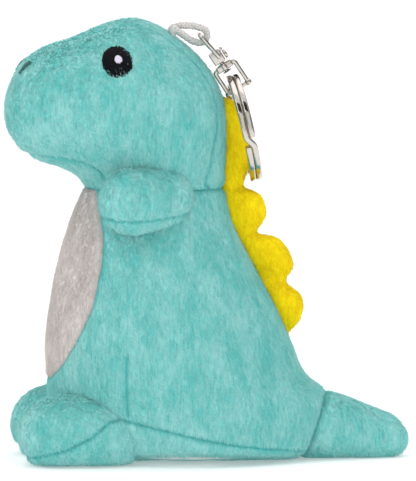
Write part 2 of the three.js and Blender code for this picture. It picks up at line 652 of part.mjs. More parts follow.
const inWorld = (body, group) => {
  group.updateWorldMatrix(true, false);
  return body.transform([...group.matrixWorld.elements]);
};
const metal = inWorld(bow(GAP), swivel).add(inWorld(splitRing(GAP), ring));
const crestSurface = bag(CREST_STATIONS, CREST_HALF_WIDTH, { around: 12, along: 26, place: onBody });
const crestForm = (inset) => solid(offset(crestSurface, -inset));
const crestShell = crestForm(0).subtract(crestForm(CREST_FABRIC)).subtract(neighbours).subtract(metal);
piece('crest_face_left', largest(crestShell.intersect(leftOf(GAP / 2))), YELLOW);
piece('crest_face_right', largest(crestShell.intersect(rightOf(-GAP / 2))), YELLOW);
piece('crest_filling', largest(crestForm(CREST_FABRIC + GAP).subtract(neighbours).subtract(metal)), FIBRE);

export default plush;
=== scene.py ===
"""A plush dinosaur keychain: short-pile fabric bags with sewn seams, embroidered eyes, a braided cord
loop, and a nickel swivel with a split ring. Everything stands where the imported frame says."""

import math
from functools import partial

import bmesh
import bpy
import numpy as np
from mathutils import Matrix, Vector, noise
from mathutils.bvhtree import BVHTree
from mathutils.kdtree import KDTree


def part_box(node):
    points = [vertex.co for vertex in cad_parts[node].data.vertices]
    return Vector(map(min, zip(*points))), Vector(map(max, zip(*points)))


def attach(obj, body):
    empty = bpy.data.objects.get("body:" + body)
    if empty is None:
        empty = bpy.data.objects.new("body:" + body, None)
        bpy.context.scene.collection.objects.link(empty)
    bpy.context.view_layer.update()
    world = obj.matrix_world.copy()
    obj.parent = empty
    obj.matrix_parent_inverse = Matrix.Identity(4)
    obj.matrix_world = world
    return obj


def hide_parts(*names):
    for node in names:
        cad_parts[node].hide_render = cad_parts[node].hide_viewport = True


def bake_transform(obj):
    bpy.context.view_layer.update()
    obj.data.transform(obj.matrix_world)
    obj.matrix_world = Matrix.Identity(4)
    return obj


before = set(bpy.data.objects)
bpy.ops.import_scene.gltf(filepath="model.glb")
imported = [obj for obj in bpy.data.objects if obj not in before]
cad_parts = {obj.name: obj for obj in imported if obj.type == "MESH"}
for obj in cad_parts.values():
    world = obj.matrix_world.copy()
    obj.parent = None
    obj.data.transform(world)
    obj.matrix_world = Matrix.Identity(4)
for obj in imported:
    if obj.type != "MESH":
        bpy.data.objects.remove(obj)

MM = 0.001
SIDE, LENGTH, HEIGHT = 0, 1, 2
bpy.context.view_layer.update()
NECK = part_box("body_side_left")[1].z + 0.15 * MM
BODY_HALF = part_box("body_side_left")[1].x
HEAD_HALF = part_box("head_side_left")[1].x
TAIL_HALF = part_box("tail_side_left")[1].x
CREST_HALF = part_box("crest_face_left")[1].x
FOOT_LOW, FOOT_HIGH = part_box("foot_upper_left")


def place_object(name, data):
    made = bpy.data.objects.new(name, data)
    bpy.context.scene.collection.objects.link(made)
    return made


# ------------------------------
# Camera
# ------------------------------

VIEW_AZIMUTH = 85
VIEW_ELEVATION = 5
VIEW_DISTANCE = 2.6
VIEW_TARGET = Vector((0, 0.1, 56.0)) * MM
VIEW_HEIGHT = 123.3 * MM      # what the frame's height takes in at the target


def direction(azimuth, elevation):
    """From the object towards a place round it, in degrees. Azimuth 0 is in front of the face."""
    a, e = math.radians(azimuth), math.radians(elevation)
    return Vector((math.sin(a) * math.cos(e), -math.cos(a) * math.cos(e), math.sin(e)))


def aimed(name, data, place, towards):
    """A camera or a lamp at a place, looking along a direction."""
    made = place_object(name, data)
    made.location = place
    made.rotation_mode = "QUATERNION"
    made.rotation_quaternion = towards.to_track_quat("-Z", "Y")
    return made


def make_camera():
    back = direction(VIEW_AZIMUTH, VIEW_ELEVATION)
    data = bpy.data.cameras.new("camera")
    data.lens = data.sensor_width * VIEW_DISTANCE / VIEW_HEIGHT
    data.clip_start = 0.01
    bpy.context.scene.camera = aimed("camera", data, VIEW_TARGET + back * VIEW_DISTANCE, -back)


# ------------------------------
# Materials
# ------------------------------


class Wire:
    """A socket of a node tree. Arithmetic on it adds Math nodes."""

    def __init__(self, nodes, socket):
        self.nodes = nodes
        self.socket = socket

    def __add__(self, other):
        return self.nodes.maths("ADD", self, other)

    def __sub__(self, other):
        return self.nodes.maths("SUBTRACT", self, other)

    def __rsub__(self, other):
        return self.nodes.maths("SUBTRACT", other, self)

    def __mul__(self, other):
        return self.nodes.maths("MULTIPLY", self, other)

    def __truediv__(self, other):
        return self.nodes.maths("DIVIDE", self, other)

    __radd__ = __add__
    __rmul__ = __mul__


class Nodes:
    """A node tree whose nodes are added by add()."""

    def __init__(self, tree):
        self.tree = tree

    def add(self, kind, settings=None, values=None, out=0):
        """Adds a node. Its settings are set first, then its sockets. A list is linked to one socket."""
        node = self.tree.nodes.new(kind)
        for key, value in (settings or {}).items():
            setattr(node, key, value)
        for key, value in (values or {}).items():
            if not isinstance(value, (Wire, list)):
                node.inputs[key].default_value = value
                continue
            for wire in value if isinstance(value, list) else [value]:
                self.tree.links.new(wire.socket, node.inputs[key])
        if isinstance(out, tuple):
            return [Wire(self, node.outputs[key]) for key in out]
        return Wire(self, node.outputs[out])

    def maths(self, operation, a, b=0.0):
        return self.add("ShaderNodeMath", {"operation": operation}, {0: a, 1: b})

    def vector(self, operation, a, b, out=0):
        """Vector Math on two vectors, or on a vector and the amount that scales it."""
        second = "Scale" if operation == "SCALE" else 1
        return self.add("ShaderNodeVectorMath", {"operation": operation}, {0: a, second: b}, out)


class Finish(Nodes):
    """A material on the Principled shader."""

    def __init__(self, name, **constants):
        self.material = bpy.data.materials.new(name)
        self.material.use_nodes = True
        super().__init__(self.material.node_tree)
        self.shader = self.tree.nodes["Principled BSDF"]
        for socket, value in constants.items():
            self.shader.inputs[socket.replace("_", " ")].default_value = value

    def mix(self, share, a, b):
        """Between two colours, of which a plain one is three numbers."""
        a, b = (colour if isinstance(colour, Wire) else (*colour, 1) for colour in (a, b))
        return self.add("ShaderNodeMix", {"data_type": "RGBA"}, {0: share, 6: a, 7: b}, out=2)

    def bump(self, strength, distance, height):
        values = {"Strength": strength, "Distance": distance, "Height": height}
        return self.add("ShaderNodeBump", values=values)

    def feed(self, **wires):
        for socket, wire in wires.items():
            self.tree.links.new(wire.socket, self.shader.inputs[socket.replace("_", " ")])
        return self.material

    def attribute(self, name):
        return self.add("ShaderNodeAttribute", {"attribute_name": name}, out="Fac")

    def object_noise(self, scale, stretch=(1, 1, 1), detail=2.0, roughness=0.5):
        place = self.add("ShaderNodeTexCoord", out="Object")
        drawn = self.add("ShaderNodeMapping", values={"Vector": place, "Scale": stretch})
        return self.add(
            "ShaderNodeTexNoise",
            values={"Vector": drawn, "Scale": scale, "Detail": detail, "Roughness": roughness},
        )


def pile(name, deep, pale, seam_shade_colour, sheen):
    """Short brushed pile: upright streaks, soft patches where it is brushed the other way, and painted
    shade, a deeper colour, down in the seams."""
    finish = Finish(
        name, Roughness=0.92, Sheen_Weight=sheen, Sheen_Roughness=0.42, Sheen_Tint=(1, 0.97, 0.95, 1),
        Specular_IOR_Level=0.15,
    )
    streaks = finish.object_noise(1500, (1, 1, 0.28), detail=3, roughness=0.65)
    patches = finish.object_noise(110, (1, 1, 0.6), detail=3, roughness=0.55)
    brushed = finish.object_noise(260, (1, 1, 0.45), detail=2, roughness=0.6)
    tone = (streaks - 0.5) * 1.9 + (patches - 0.5) * 1.1 + (brushed - 0.5) * 1.3
    body = finish.mix(tone + finish.attribute("tip") * 0.55 + 0.30, deep, pale)
    # Painted shade: near seams, creases and hems the colour is drawn towards a darker one, as if shade fell
    # in the groove
    colour = finish.mix(finish.attribute("seam") * 0.75, body, seam_shade_colour)
    bump = finish.bump(0.55, 0.25 * MM, streaks * 0.7 + patches * 0.3)
    return finish.feed(Base_Color=colour, Normal=bump)


def thread(name, deep, pale, roughness=0.45):
    """Satin embroidery thread, twisted along its length."""
    finish = Finish(name, Roughness=roughness, Specular_IOR_Level=0.12)
    twist = finish.object_noise(2600)
    return finish.feed(Base_Color=finish.mix(twist, deep, pale), Normal=finish.bump(0.3, 0.1 * MM, twist))


def nickel(name):
    """Polished nickel plate with faint handling marks."""
    finish = Finish(name, Metallic=1.0)
    smears = finish.object_noise(500, detail=4, roughness=0.6)
    scratches = finish.object_noise(1800, (1, 6, 1), detail=2)
    colour = finish.mix(smears, (0.50, 0.46, 0.42), (0.66, 0.62, 0.58))
    bump = finish.bump(0.06, 0.03 * MM, scratches)
    return finish.feed(Base_Color=colour, Roughness=smears * 0.10 + 0.07, Normal=bump)


def fibre(name):
    """Loose polyester filling, inside the bags."""
    finish = Finish(name, Roughness=1.0, Sheen_Weight=0.3)
    fluff = finish.object_noise(600, detail=4)
    colour = finish.mix(fluff, (0.72, 0.72, 0.70), (0.9, 0.9, 0.88))
    return finish.feed(Base_Color=colour, Normal=finish.bump(0.6, 0.5 * MM, fluff))


# The third colour of each pile is painted shade, laid into its seams, creases and hems
TEAL = pile("teal_pile", (0.115, 0.525, 0.50), (0.365, 0.70, 0.685), (0.03, 0.40, 0.39), 0.25)
WHITE = pile("white_pile", (0.53, 0.48, 0.46), (0.76, 0.71, 0.69), (0.40, 0.42, 0.41), 0.18)
YELLOW = pile("yellow_pile", (0.80, 0.60, 0.003), (1.0, 0.83, 0.008), (0.50, 0.33, 0.003), 0.02)
BLACK = thread("black_thread", (0.0008, 0.0008, 0.002), (0.006, 0.006, 0.010), 0.6)
PALE = thread("pale_thread", (0.62, 0.56, 0.72), (0.85, 0.82, 0.92))
GREY = thread("grey_thread", (0.03, 0.10, 0.10), (0.07, 0.17, 0.17), 0.7)
CORD = thread("white_cord", (0.52, 0.49, 0.48), (0.78, 0.76, 0.74), 0.65)
NICKEL = nickel("polished_nickel")
FIBRE = fibre("filling_fibre")

# ------------------------------
# Stuffed bags. A station is one cross-section: two opposite points of it as (y, z), its half width
# as a share of the bag's greatest, and how much its back end narrows, where it does. Lengths are
# millimetres, and heights on the head are above the neck seam.
# ------------------------------

HEAD_STATIONS = [
    ((-51.8, 20.2), (-51.8, 20.2), 0),
    ((-51.0, 25.2), (-51.2, 15.4), 0.36),
    ((-47.8, 31.4), (-48.2, 10.6), 0.60),
    ((-41.8, 35.6), (-43.4, 7.2), 0.78),
    ((-34.0, 38.2), (-38.6, 5.8), 0.89),
    ((-26.0, 41.5), (-35.2, 4.2), 0.97),
    ((-17.6, 42.6), (-33.3, 2.8), 1),
    ((-8.8, 38.7), (-32.4, 1.8), 0.99),
    ((-1.4, 31.9), (-32.0, 1.0), 0.94),
    ((3.6, 22.8), (-31.8, 0.4), 0.87),
    ((4.6, 11.5), (-31.7, 0.0), 0.79),
    ((4.0, 0.0), (-31.6, -1.0), 0.71),
    ((2.0, -7.0), (-29.5, -7.5), 0.56),
    ((-13.5, -11.0), (-13.5, -11.0), 0),
]
BODY_STATIONS = [
    ((-13.5, 81.9), (-13.5, 81.9), 0),
    ((3.0, 76.3), (-29.8, 76.3), 0.50),
    ((4.0, 70.0), (-31.6, 70.0), 0.61),
    ((6.6, 60.2), (-35.6, 60.2), 0.73, 0.08),
    ((12.0, 49.7), (-38.6, 49.7), 0.84, 0.16),
    ((17.8, 39.2), (-40.6, 39.2), 0.93, 0.22),
    ((21.6, 30.1), (-41.5, 29.4), 0.98, 0.28),
    ((25.4, 21.7), (-41.2, 19.6), 1, 0.3),
    ((31.0, 16.8), (-40.2, 13.3), 0.99, 0.3),
    ((33.0, 9.1), (-38.4, 7.0), 0.95, 0.3),
    ((27.0, 1.4), (-33.0, 1.4), 0.84, 0.3),
    ((-6.0, -0.5), (-6.0, -0.5), 0, 0.3),
]
TAIL_STATIONS = [
    ((16.0, 9.0), (16.0, 9.0), 0),
    ((22.5, 17.2), (21.5, 1.2), 0.86),
    ((30.6, 16.9), (27.0, 0.2), 1),
    ((36.4, 15.0), (34.6, -0.4), 0.86),
    ((42.2, 12.9), (42.4, -0.4), 0.68),
    ((47.8, 10.6), (48.4, 0.4), 0.50),
    ((50.8, 7.3), (51.0, 2.2), 0.28),
    ((51.8, 4.7), (51.8, 4.7), 0),
]
FOOT_STATIONS = [
    ((-17.0, 8.0), (-17.0, 8.0), 0),
    ((-21.0, 14.6), (-21.0, 0.6), 0.68),
    ((-28.0, 17.4), (-28.0, -0.8), 0.92),
    ((-36.0, 18.2), (-36.0, -1.2), 1),
    ((-43.6, 16.4), (-43.4, -0.8), 0.88),
    ((-48.2, 12.0), (-47.8, 2.2), 0.58),
    ((-49.6, 7.0), (-49.6, 7.0), 0),
]
CREST_STATIONS = [
    ((3.6, 93.4), (3.6, 93.4), 0),
    ((8.4, 90.3), (1.0, 90.3), 0.72),
    ((11.3, 84.4), (0.0, 83.3), 0.86),
    ((10.9, 76.7), (0.0, 76.3), 0.86),
    ((9.3, 70.1), (1.0, 70.3), 0.7),
    ((13.8, 67.6), (2.0, 66.5), 0.95),
    ((15.2, 62.7), (3.0, 61.9), 1),
    ((12.9, 58.2), (5.0, 58.1), 0.7),
    ((18.6, 56.1), (7.0, 55.3), 0.95),
    ((22.0, 50.1), (9.0, 51.1), 1),
    ((20.2, 45.4), (11.0, 47.2), 0.7),
    ((24.2, 41.4), (13.0, 42.7), 1),
    ((24.0, 36.4), (15.0, 37.8), 0.9),
    ((20.0, 30.8), (20.0, 30.8), 0),
]
FLOOR_CLEAR = 0.3 * MM
SEAM_DEPTH = 0.5 * MM
SEAM_REACH = 0.8 * MM
SEAM_SHADE = 0.55 * MM        # how far to each side of a seam the pile is flattened and painted shade darkens it
PUCKER = 0.35                 # how unevenly a seam is drawn in, as a share of its depth
PUCKER_SCALE = 420
JOIN_REACH = 2 * MM
HEM = 0.9 * MM
SKIN_LIFT = 0.15 * MM
SWELL_CAP = 1.3 * MM
SWELL_FRAMES = 20
SWELL_PRESSURE = 4.0
DRAWN_IN = 1.1                # a bag starts smaller by this share of what it swells on average
SNAP = 0.22                   # a cut takes a corner this near, as a share of the edge, onto itself
SIM_SCALE = 10                # the cloth is swelled at ten times its size, where its springs work well


def along_curve(points, t):
    """Catmull-Rom through the points, at parameters t from 0 to 1."""
    points = np.asarray(points, float)
    padded = np.vstack([2 * points[0] - points[1], points, 2 * points[-1] - points[-2]])
    place = np.clip(np.asarray(t) * (len(points) - 1), 0, len(points) - 1 - 1e-9)
    first = place.astype(int)
    u = (place - first)[:, None]
    a, b, c, d = (padded[first + k] for k in range(4))
    return 0.5 * (2 * b + (c - a) * u + (2 * a - 5 * b + 4 * c - d) * u**2 + (3 * b - a - 3 * c + d) * u**3)


def bag_grid(stations, half_width, rows, columns, centre_x=0.0, lift=(0.0, 0.0)):
    """Points of a bag's surface in metres, as an array of rows, columns and x, y, z."""
    table = np.array([
        [*back, *front, share, *(narrow or [0])] for back, front, share, *narrow in stations
    ], float)
    drawn = along_curve(table, np.linspace(0, 1, rows + 1))
    back, front = drawn[:, 0:2] + lift, drawn[:, 2:4] + lift
    turn = np.linspace(0, 2 * np.pi, columns, endpoint=False)
    towards_back = (1 + np.cos(turn)) / 2
    share = np.maximum(drawn[:, 4], 0)
    share[[0, -1]] = 0
    narrowed = 1 - drawn[:, 5, None] * np.maximum(np.cos(turn), 0) ** 2
    x = centre_x + half_width / MM * share[:, None] * narrowed * np.sin(turn)
    yz = front[:, None] + (back - front)[:, None] * towards_back[None, :, None]
    return np.concatenate([x[..., None], yz], axis=2) * MM


def grid_faces(rows, columns):
    """Faces of a closed grid whose first and last rows are single points."""
    def corner(row, column):
        if row == 0:
            return 0
        if row == rows:
            return 1 + (rows - 1) * columns
        return 1 + (row - 1) * columns + column % columns
    faces = []
    for row in range(rows):
        for column in range(columns):
            around = ((0, 0), (0, 1), (1, 1), (1, 0))
            ring = [corner(row + down, column + across) for down, across in around]
            faces.append(list(dict.fromkeys(ring)))
    return faces


def rest_on_floor(grid, middle, half_width, undercut, forward):
    """Flattens a bag on the floor, with its sides curling up from it, more so towards the front."""
    share = np.abs(grid[..., SIDE] - middle) / half_width
    low = FLOOR_CLEAR + share**2 * np.maximum(undercut - forward * grid[..., LENGTH], 0)
    over = grid[..., HEIGHT] - low
    soft = 0.5 * MM
    grid[..., HEIGHT] = low + soft * np.logaddexp(0, over / soft)


def grid_points(grid):
    return np.vstack([grid[0, :1], grid[1:-1].reshape(-1, 3), grid[-1, :1]])


def new_mesh(name, points, faces, edges=()):
    mesh = bpy.data.meshes.new(name)
    mesh.from_pydata(np.asarray(points).tolist(), edges, faces)
    mesh.update()
    return mesh


def grid_mesh(name, grid, scale=1.0):
    """A bag's closed surface as a mesh, with its faces outwards."""
    mesh = new_mesh(name, grid_points(grid) * scale, grid_faces(grid.shape[0] - 1, grid.shape[1]))
    bm = bmesh.new()
    bm.from_mesh(mesh)
    bmesh.ops.recalc_face_normals(bm, faces=bm.faces)
    bm.to_mesh(mesh)
    bm.free()
    return mesh


def swell(grid, held, cap):
    """How far a bag's panels puff out when it is stuffed, from a cloth simulation of a coarse grid
    whose seams are held. The result is one displacement for each point of the grid."""
    rows, columns = grid.shape[0] - 1, grid.shape[1]
    moved = np.zeros_like(grid)
    points = grid_points(grid)
    mesh = grid_mesh("swelling", grid, SIM_SCALE)
    normals = np.array([v.normal for v in mesh.vertices])
    bag = place_object("swelling", mesh)
    group = bag.vertex_groups.new(name="seams")
    group.add(np.flatnonzero(held(points)).tolist(), 1.0, "REPLACE")
    cloth = bag.modifiers.new("cloth", "CLOTH")
    settings = cloth.settings
    settings.quality = 5
    settings.mass = 0.15
    settings.tension_stiffness = settings.compression_stiffness = 12
    settings.bending_stiffness = 0.4
    settings.use_pressure = True
    settings.uniform_pressure_force = SWELL_PRESSURE
    settings.vertex_group_mass = "seams"
    settings.effector_weights.gravity = 0
    for number in range(SWELL_FRAMES):
        bpy.context.scene.frame_set(number + 1)
    evaluated = bag.evaluated_get(bpy.context.evaluated_depsgraph_get())
    after = np.array([v.co for v in evaluated.data.vertices]) / SIM_SCALE
    bpy.data.objects.remove(bag)
    bpy.context.scene.frame_set(1)
    shift = after - points
    length = np.linalg.norm(shift, axis=1, keepdims=True)
    shift *= np.minimum(1, cap / np.maximum(length, 1e-9))
    shift -= normals * np.mean(np.sum(shift * normals, axis=1)) * DRAWN_IN
    moved[0], moved[-1] = shift[0], shift[-1]
    moved[1:-1] = shift[1:-1].reshape(rows - 1, columns, 3)
    return moved


def upsampled(coarse, rows, columns):
    """A coarse grid of displacements drawn out smoothly over a finer grid."""
    down = np.linspace(0, 1, rows + 1)
    tall = along_curve(coarse.reshape(coarse.shape[0], -1), down).reshape(rows + 1, coarse.shape[1], 3)
    wrapped = np.concatenate([tall, tall[:, :1]], axis=1).transpose(1, 0, 2)
    across = np.linspace(0, 1, columns, endpoint=False)
    wide = along_curve(wrapped.reshape(wrapped.shape[0], -1), across).reshape(columns, rows + 1, 3)
    return wide.transpose(1, 0, 2)


def stuffed(grid_of, rows, columns, held, cap=SWELL_CAP, fine=None):
    """A bag's surface, swelled by a simulation with these rows and columns. The fine grid has three
    times as many unless it is given."""
    fine = fine or (3 * rows, 3 * columns)
    return grid_of(*fine) + upsampled(swell(grid_of(rows, columns), held, cap), *fine)


def cut_along(bm, field):
    """Adds edges where a field of the place crosses zero, moving points that are almost there."""
    bm.verts.ensure_lookup_table()
    values = field(np.array([v.co for v in bm.verts]))
    level = {v: float(value) for v, value in zip(bm.verts, values)}
    for edge in list(bm.edges):
        a, b = edge.verts
        if level[a] * level[b] >= 0:
            continue
        t = level[a] / (level[a] - level[b])
        for near, far, share in ((a, b, t), (b, a, 1 - t)):
            if share < SNAP:
                near.co = near.co.lerp(far.co, share)
                level[near] = 0.0
                break
    for edge in [e for e in bm.edges if level[e.verts[0]] * level[e.verts[1]] < 0]:
        a, b = edge.verts
        _, middle = bmesh.utils.edge_split(edge, a, level[a] / (level[a] - level[b]))
        level[middle] = 0.0
    for face in list(bm.faces):
        on = [v for v in face.verts if level[v] == 0.0]
        above = any(level[v] > 0 for v in face.verts)
        under = any(level[v] < 0 for v in face.verts)
        if len(on) == 2 and above and under:
            bmesh.utils.face_split(face, on[0], on[1])


def lumps(point):
    """How the stuffing shows through: soft hollows and a few shallow creases running down."""
    x, y, z = point
    hollow = noise.noise(Vector((x * 95, y * 95 + 3, z * 75)))
    crease = abs(noise.noise(Vector((x * 130 + 7, y * 130, z * 60))))
    return hollow * 0.38 * MM - max(0.0, 0.07 - crease) * 3.2 * MM


def nap(point, level):
    """The height of the pile at a place: clumps of a millimetre, drawn out down the sides and
    backwards over the top."""
    x, y, z = point
    y *= 1 - 0.55 * level
    z *= 0.45 + 0.55 * level
    drawn = Vector((x * 900, y * 900, z * 900))
    fine = Vector((x * 2100, y * 2100, z * 1900))
    return noise.noise(drawn) * 0.10 * MM + noise.noise(fine) * 0.07 * MM


class Tree(Nodes):
    """A Geometry Nodes tree with named inputs, ending in Realize Instances and Set Material."""

    def __init__(self, name, inputs):
        super().__init__(bpy.data.node_groups.new(name, "GeometryNodeTree"))
        self.tree.interface.new_socket("Geometry", in_out="OUTPUT", socket_type="NodeSocketGeometry")
        self.identifiers = {}
        for title, (kind, value) in inputs.items():
            socket = self.tree.interface.new_socket(title, in_out="INPUT", socket_type="NodeSocket" + kind)
            self.identifiers[title] = socket.identifier
            if value is not None:
                socket.default_value = value
        start = self.tree.nodes.new("NodeGroupInput")
        self.inputs = [Wire(self, start.outputs[title]) for title in inputs]

    def geometry_of(self, thing):
        settings = {"transform_space": "ORIGINAL"}
        return self.add("GeometryNodeObjectInfo", settings, {"Object": thing}, out="Geometry")

    def attribute(self, name):
        return self.add("GeometryNodeInputNamedAttribute", {"data_type": "FLOAT"}, {"Name": name})

    def xyz(self, **parts):
        return self.add("ShaderNodeCombineXYZ", values=parts)

    def thread_round(self, curve, radius):
        """A round thread along a curve, closed at both ends."""
        circle = {"Resolution": THREAD_SIDES, "Radius": radius}
        circle = self.add("GeometryNodeCurvePrimitiveCircle", {"mode": "RADIUS"}, circle)
        values = {"Curve": curve, "Profile Curve": circle, "Fill Caps": True}
        return self.add("GeometryNodeCurveToMesh", values=values)

    def finish(self, geometry, material):
        real = self.add("GeometryNodeRealizeInstances", values={0: geometry})
        shown = self.add("GeometryNodeSetMaterial", values={"Geometry": real, "Material": material})
        end = self.tree.nodes.new("NodeGroupOutput")
        self.tree.links.new(shown.socket, end.inputs[0])
        return self

    def mesh(self, name, **values):
        """The tree's result as a plain mesh object."""
        holder = place_object(name, bpy.data.meshes.new(name))
        modifier = holder.modifiers.new("nodes", "NODES")
        modifier.node_group = self.tree
        for title, value in values.items():
            modifier[self.identifiers[title.replace("_", " ")]] = value
        evaluated = holder.evaluated_get(bpy.context.evaluated_depsgraph_get())
        made = bpy.data.meshes.new_from_object(evaluated)
        holder.modifiers.clear()
        holder.data = made
        made.polygons.foreach_set("use_smooth", np.ones(len(made.polygons), bool))
        return holder


THREAD_SIDES = 6
FIBRES_PER_MM2 = 7
FIBRE_LENGTH = 0.85 * MM
FIBRE_WIDTH = 0.16 * MM
COMBED = (0.0, 0.42, -1.0)    # the way that the pile lies


def brushed_pile_tree():
    """Short fibres scattered over a skin, combed one way and a little ruffled."""
    tree = Tree("brushed_pile", {
        "Skin": ("Object", None),
        "Blade": ("Object", None),
        "Density": ("Float", FIBRES_PER_MM2 / MM**2),
        "Length": ("Float", FIBRE_LENGTH),
        "Width": ("Float", FIBRE_WIDTH),
        "Rise": ("Float", 0.42),
        "Ruffle": ("Float", 0.35),
        "Comb": ("Vector", COMBED),
        "Seed": ("Int", 1),
        "Finish": ("Material", None),
    })
    skin, blade, density, length, width, rise, ruffle, comb, seed, material = tree.inputs
    skin = tree.geometry_of(skin)
    bare = tree.maths("GREATER_THAN", tree.attribute("shown"), 0.99)
    sown = {"Mesh": skin, "Density": density * bare, "Seed": seed}
    roots, normal = tree.add("GeometryNodeDistributePointsOnFaces", values=sown, out=("Points", "Normal"))

    def random(low, high, own_seed):
        values = {"Min": low, "Max": high, "Seed": own_seed}
        return tree.add("FunctionNodeRandomValue", {"data_type": "FLOAT"}, values, out=1)

    blown = {0: (-1, -1, -1), 1: (1, 1, 1), "Seed": 11}
    blown = tree.add("FunctionNodeRandomValue", {"data_type": "FLOAT_VECTOR"}, blown)
    ruffled = tree.vector("ADD", comb, tree.vector("SCALE", blown, ruffle))
    upright = tree.vector("SCALE", normal, tree.vector("DOT_PRODUCT", ruffled, normal, out="Value"))
    flat = tree.vector("SUBTRACT", ruffled, upright)
    flat = tree.add("ShaderNodeVectorMath", {"operation": "NORMALIZE"}, {0: flat})
    ahead = tree.vector("ADD", flat, tree.vector("SCALE", normal, rise * random(0.4, 1.7, 12)))
    align = "FunctionNodeAlignRotationToVector"
    turned = tree.add(align, {"axis": "Y"}, {"Vector": ahead})
    turned = tree.add(align, {"axis": "Z", "pivot_axis": "Y"}, {"Rotation": turned, "Vector": normal})
    length = length * random(0.55, 1.3, 13) * (1.0 - tree.attribute("seam") * 0.45)
    fibres = tree.add("GeometryNodeInstanceOnPoints", values={
        "Points": roots, "Instance": tree.geometry_of(blade), "Rotation": turned,
        "Scale": tree.xyz(X=width, Y=length, Z=length),
    })
    return tree.finish(tree.add("GeometryNodeJoinGeometry", values={0: [fibres, skin]}), material)


def fibre_blade():
    """One fibre, a unit long along +y, narrowing to its tip and bending over."""
    points = [(-0.5, 0, 0), (0.5, 0, 0), (0.4, 0.55, 0.1), (-0.4, 0.55, 0.1), (0, 1, 0.05)]
    mesh = new_mesh("fibre", points, [[0, 1, 2, 3], [3, 2, 4]])
    mark(mesh, "tip", [0, 0, 0.6, 0.6, 1])
    return place_object("fibre", mesh)


def brush(piece, material, seed):
    """Gives a panel its pile."""
    made = PILE_TREE.mesh("piled", Skin=piece, Blade=FIBRE_BLADE, Finish=material, Seed=seed + 1)
    mesh, plain = made.data, piece.data
    name = plain.name
    co = np.array([v.co for v in mesh.vertices])
    co[:, HEIGHT] = np.maximum(co[:, HEIGHT], 0.05 * MM)
    mesh.vertices.foreach_set("co", co.ravel())
    piece.data = mesh
    bpy.data.objects.remove(made)
    bpy.data.meshes.remove(plain)
    mesh.name = name


def edges_of(quads):
    """The four edges of each quad, as pairs of points."""
    return np.stack([quads, np.roll(quads, -1, axis=1)], axis=2).reshape(-1, 2)


def mark(mesh, name, values):
    """Gives each point of a mesh a value, which a material or a tree reads by name."""
    attribute = mesh.attributes.new(name, "FLOAT", "POINT")
    attribute.data.foreach_set("value", np.asarray(values, np.float32))


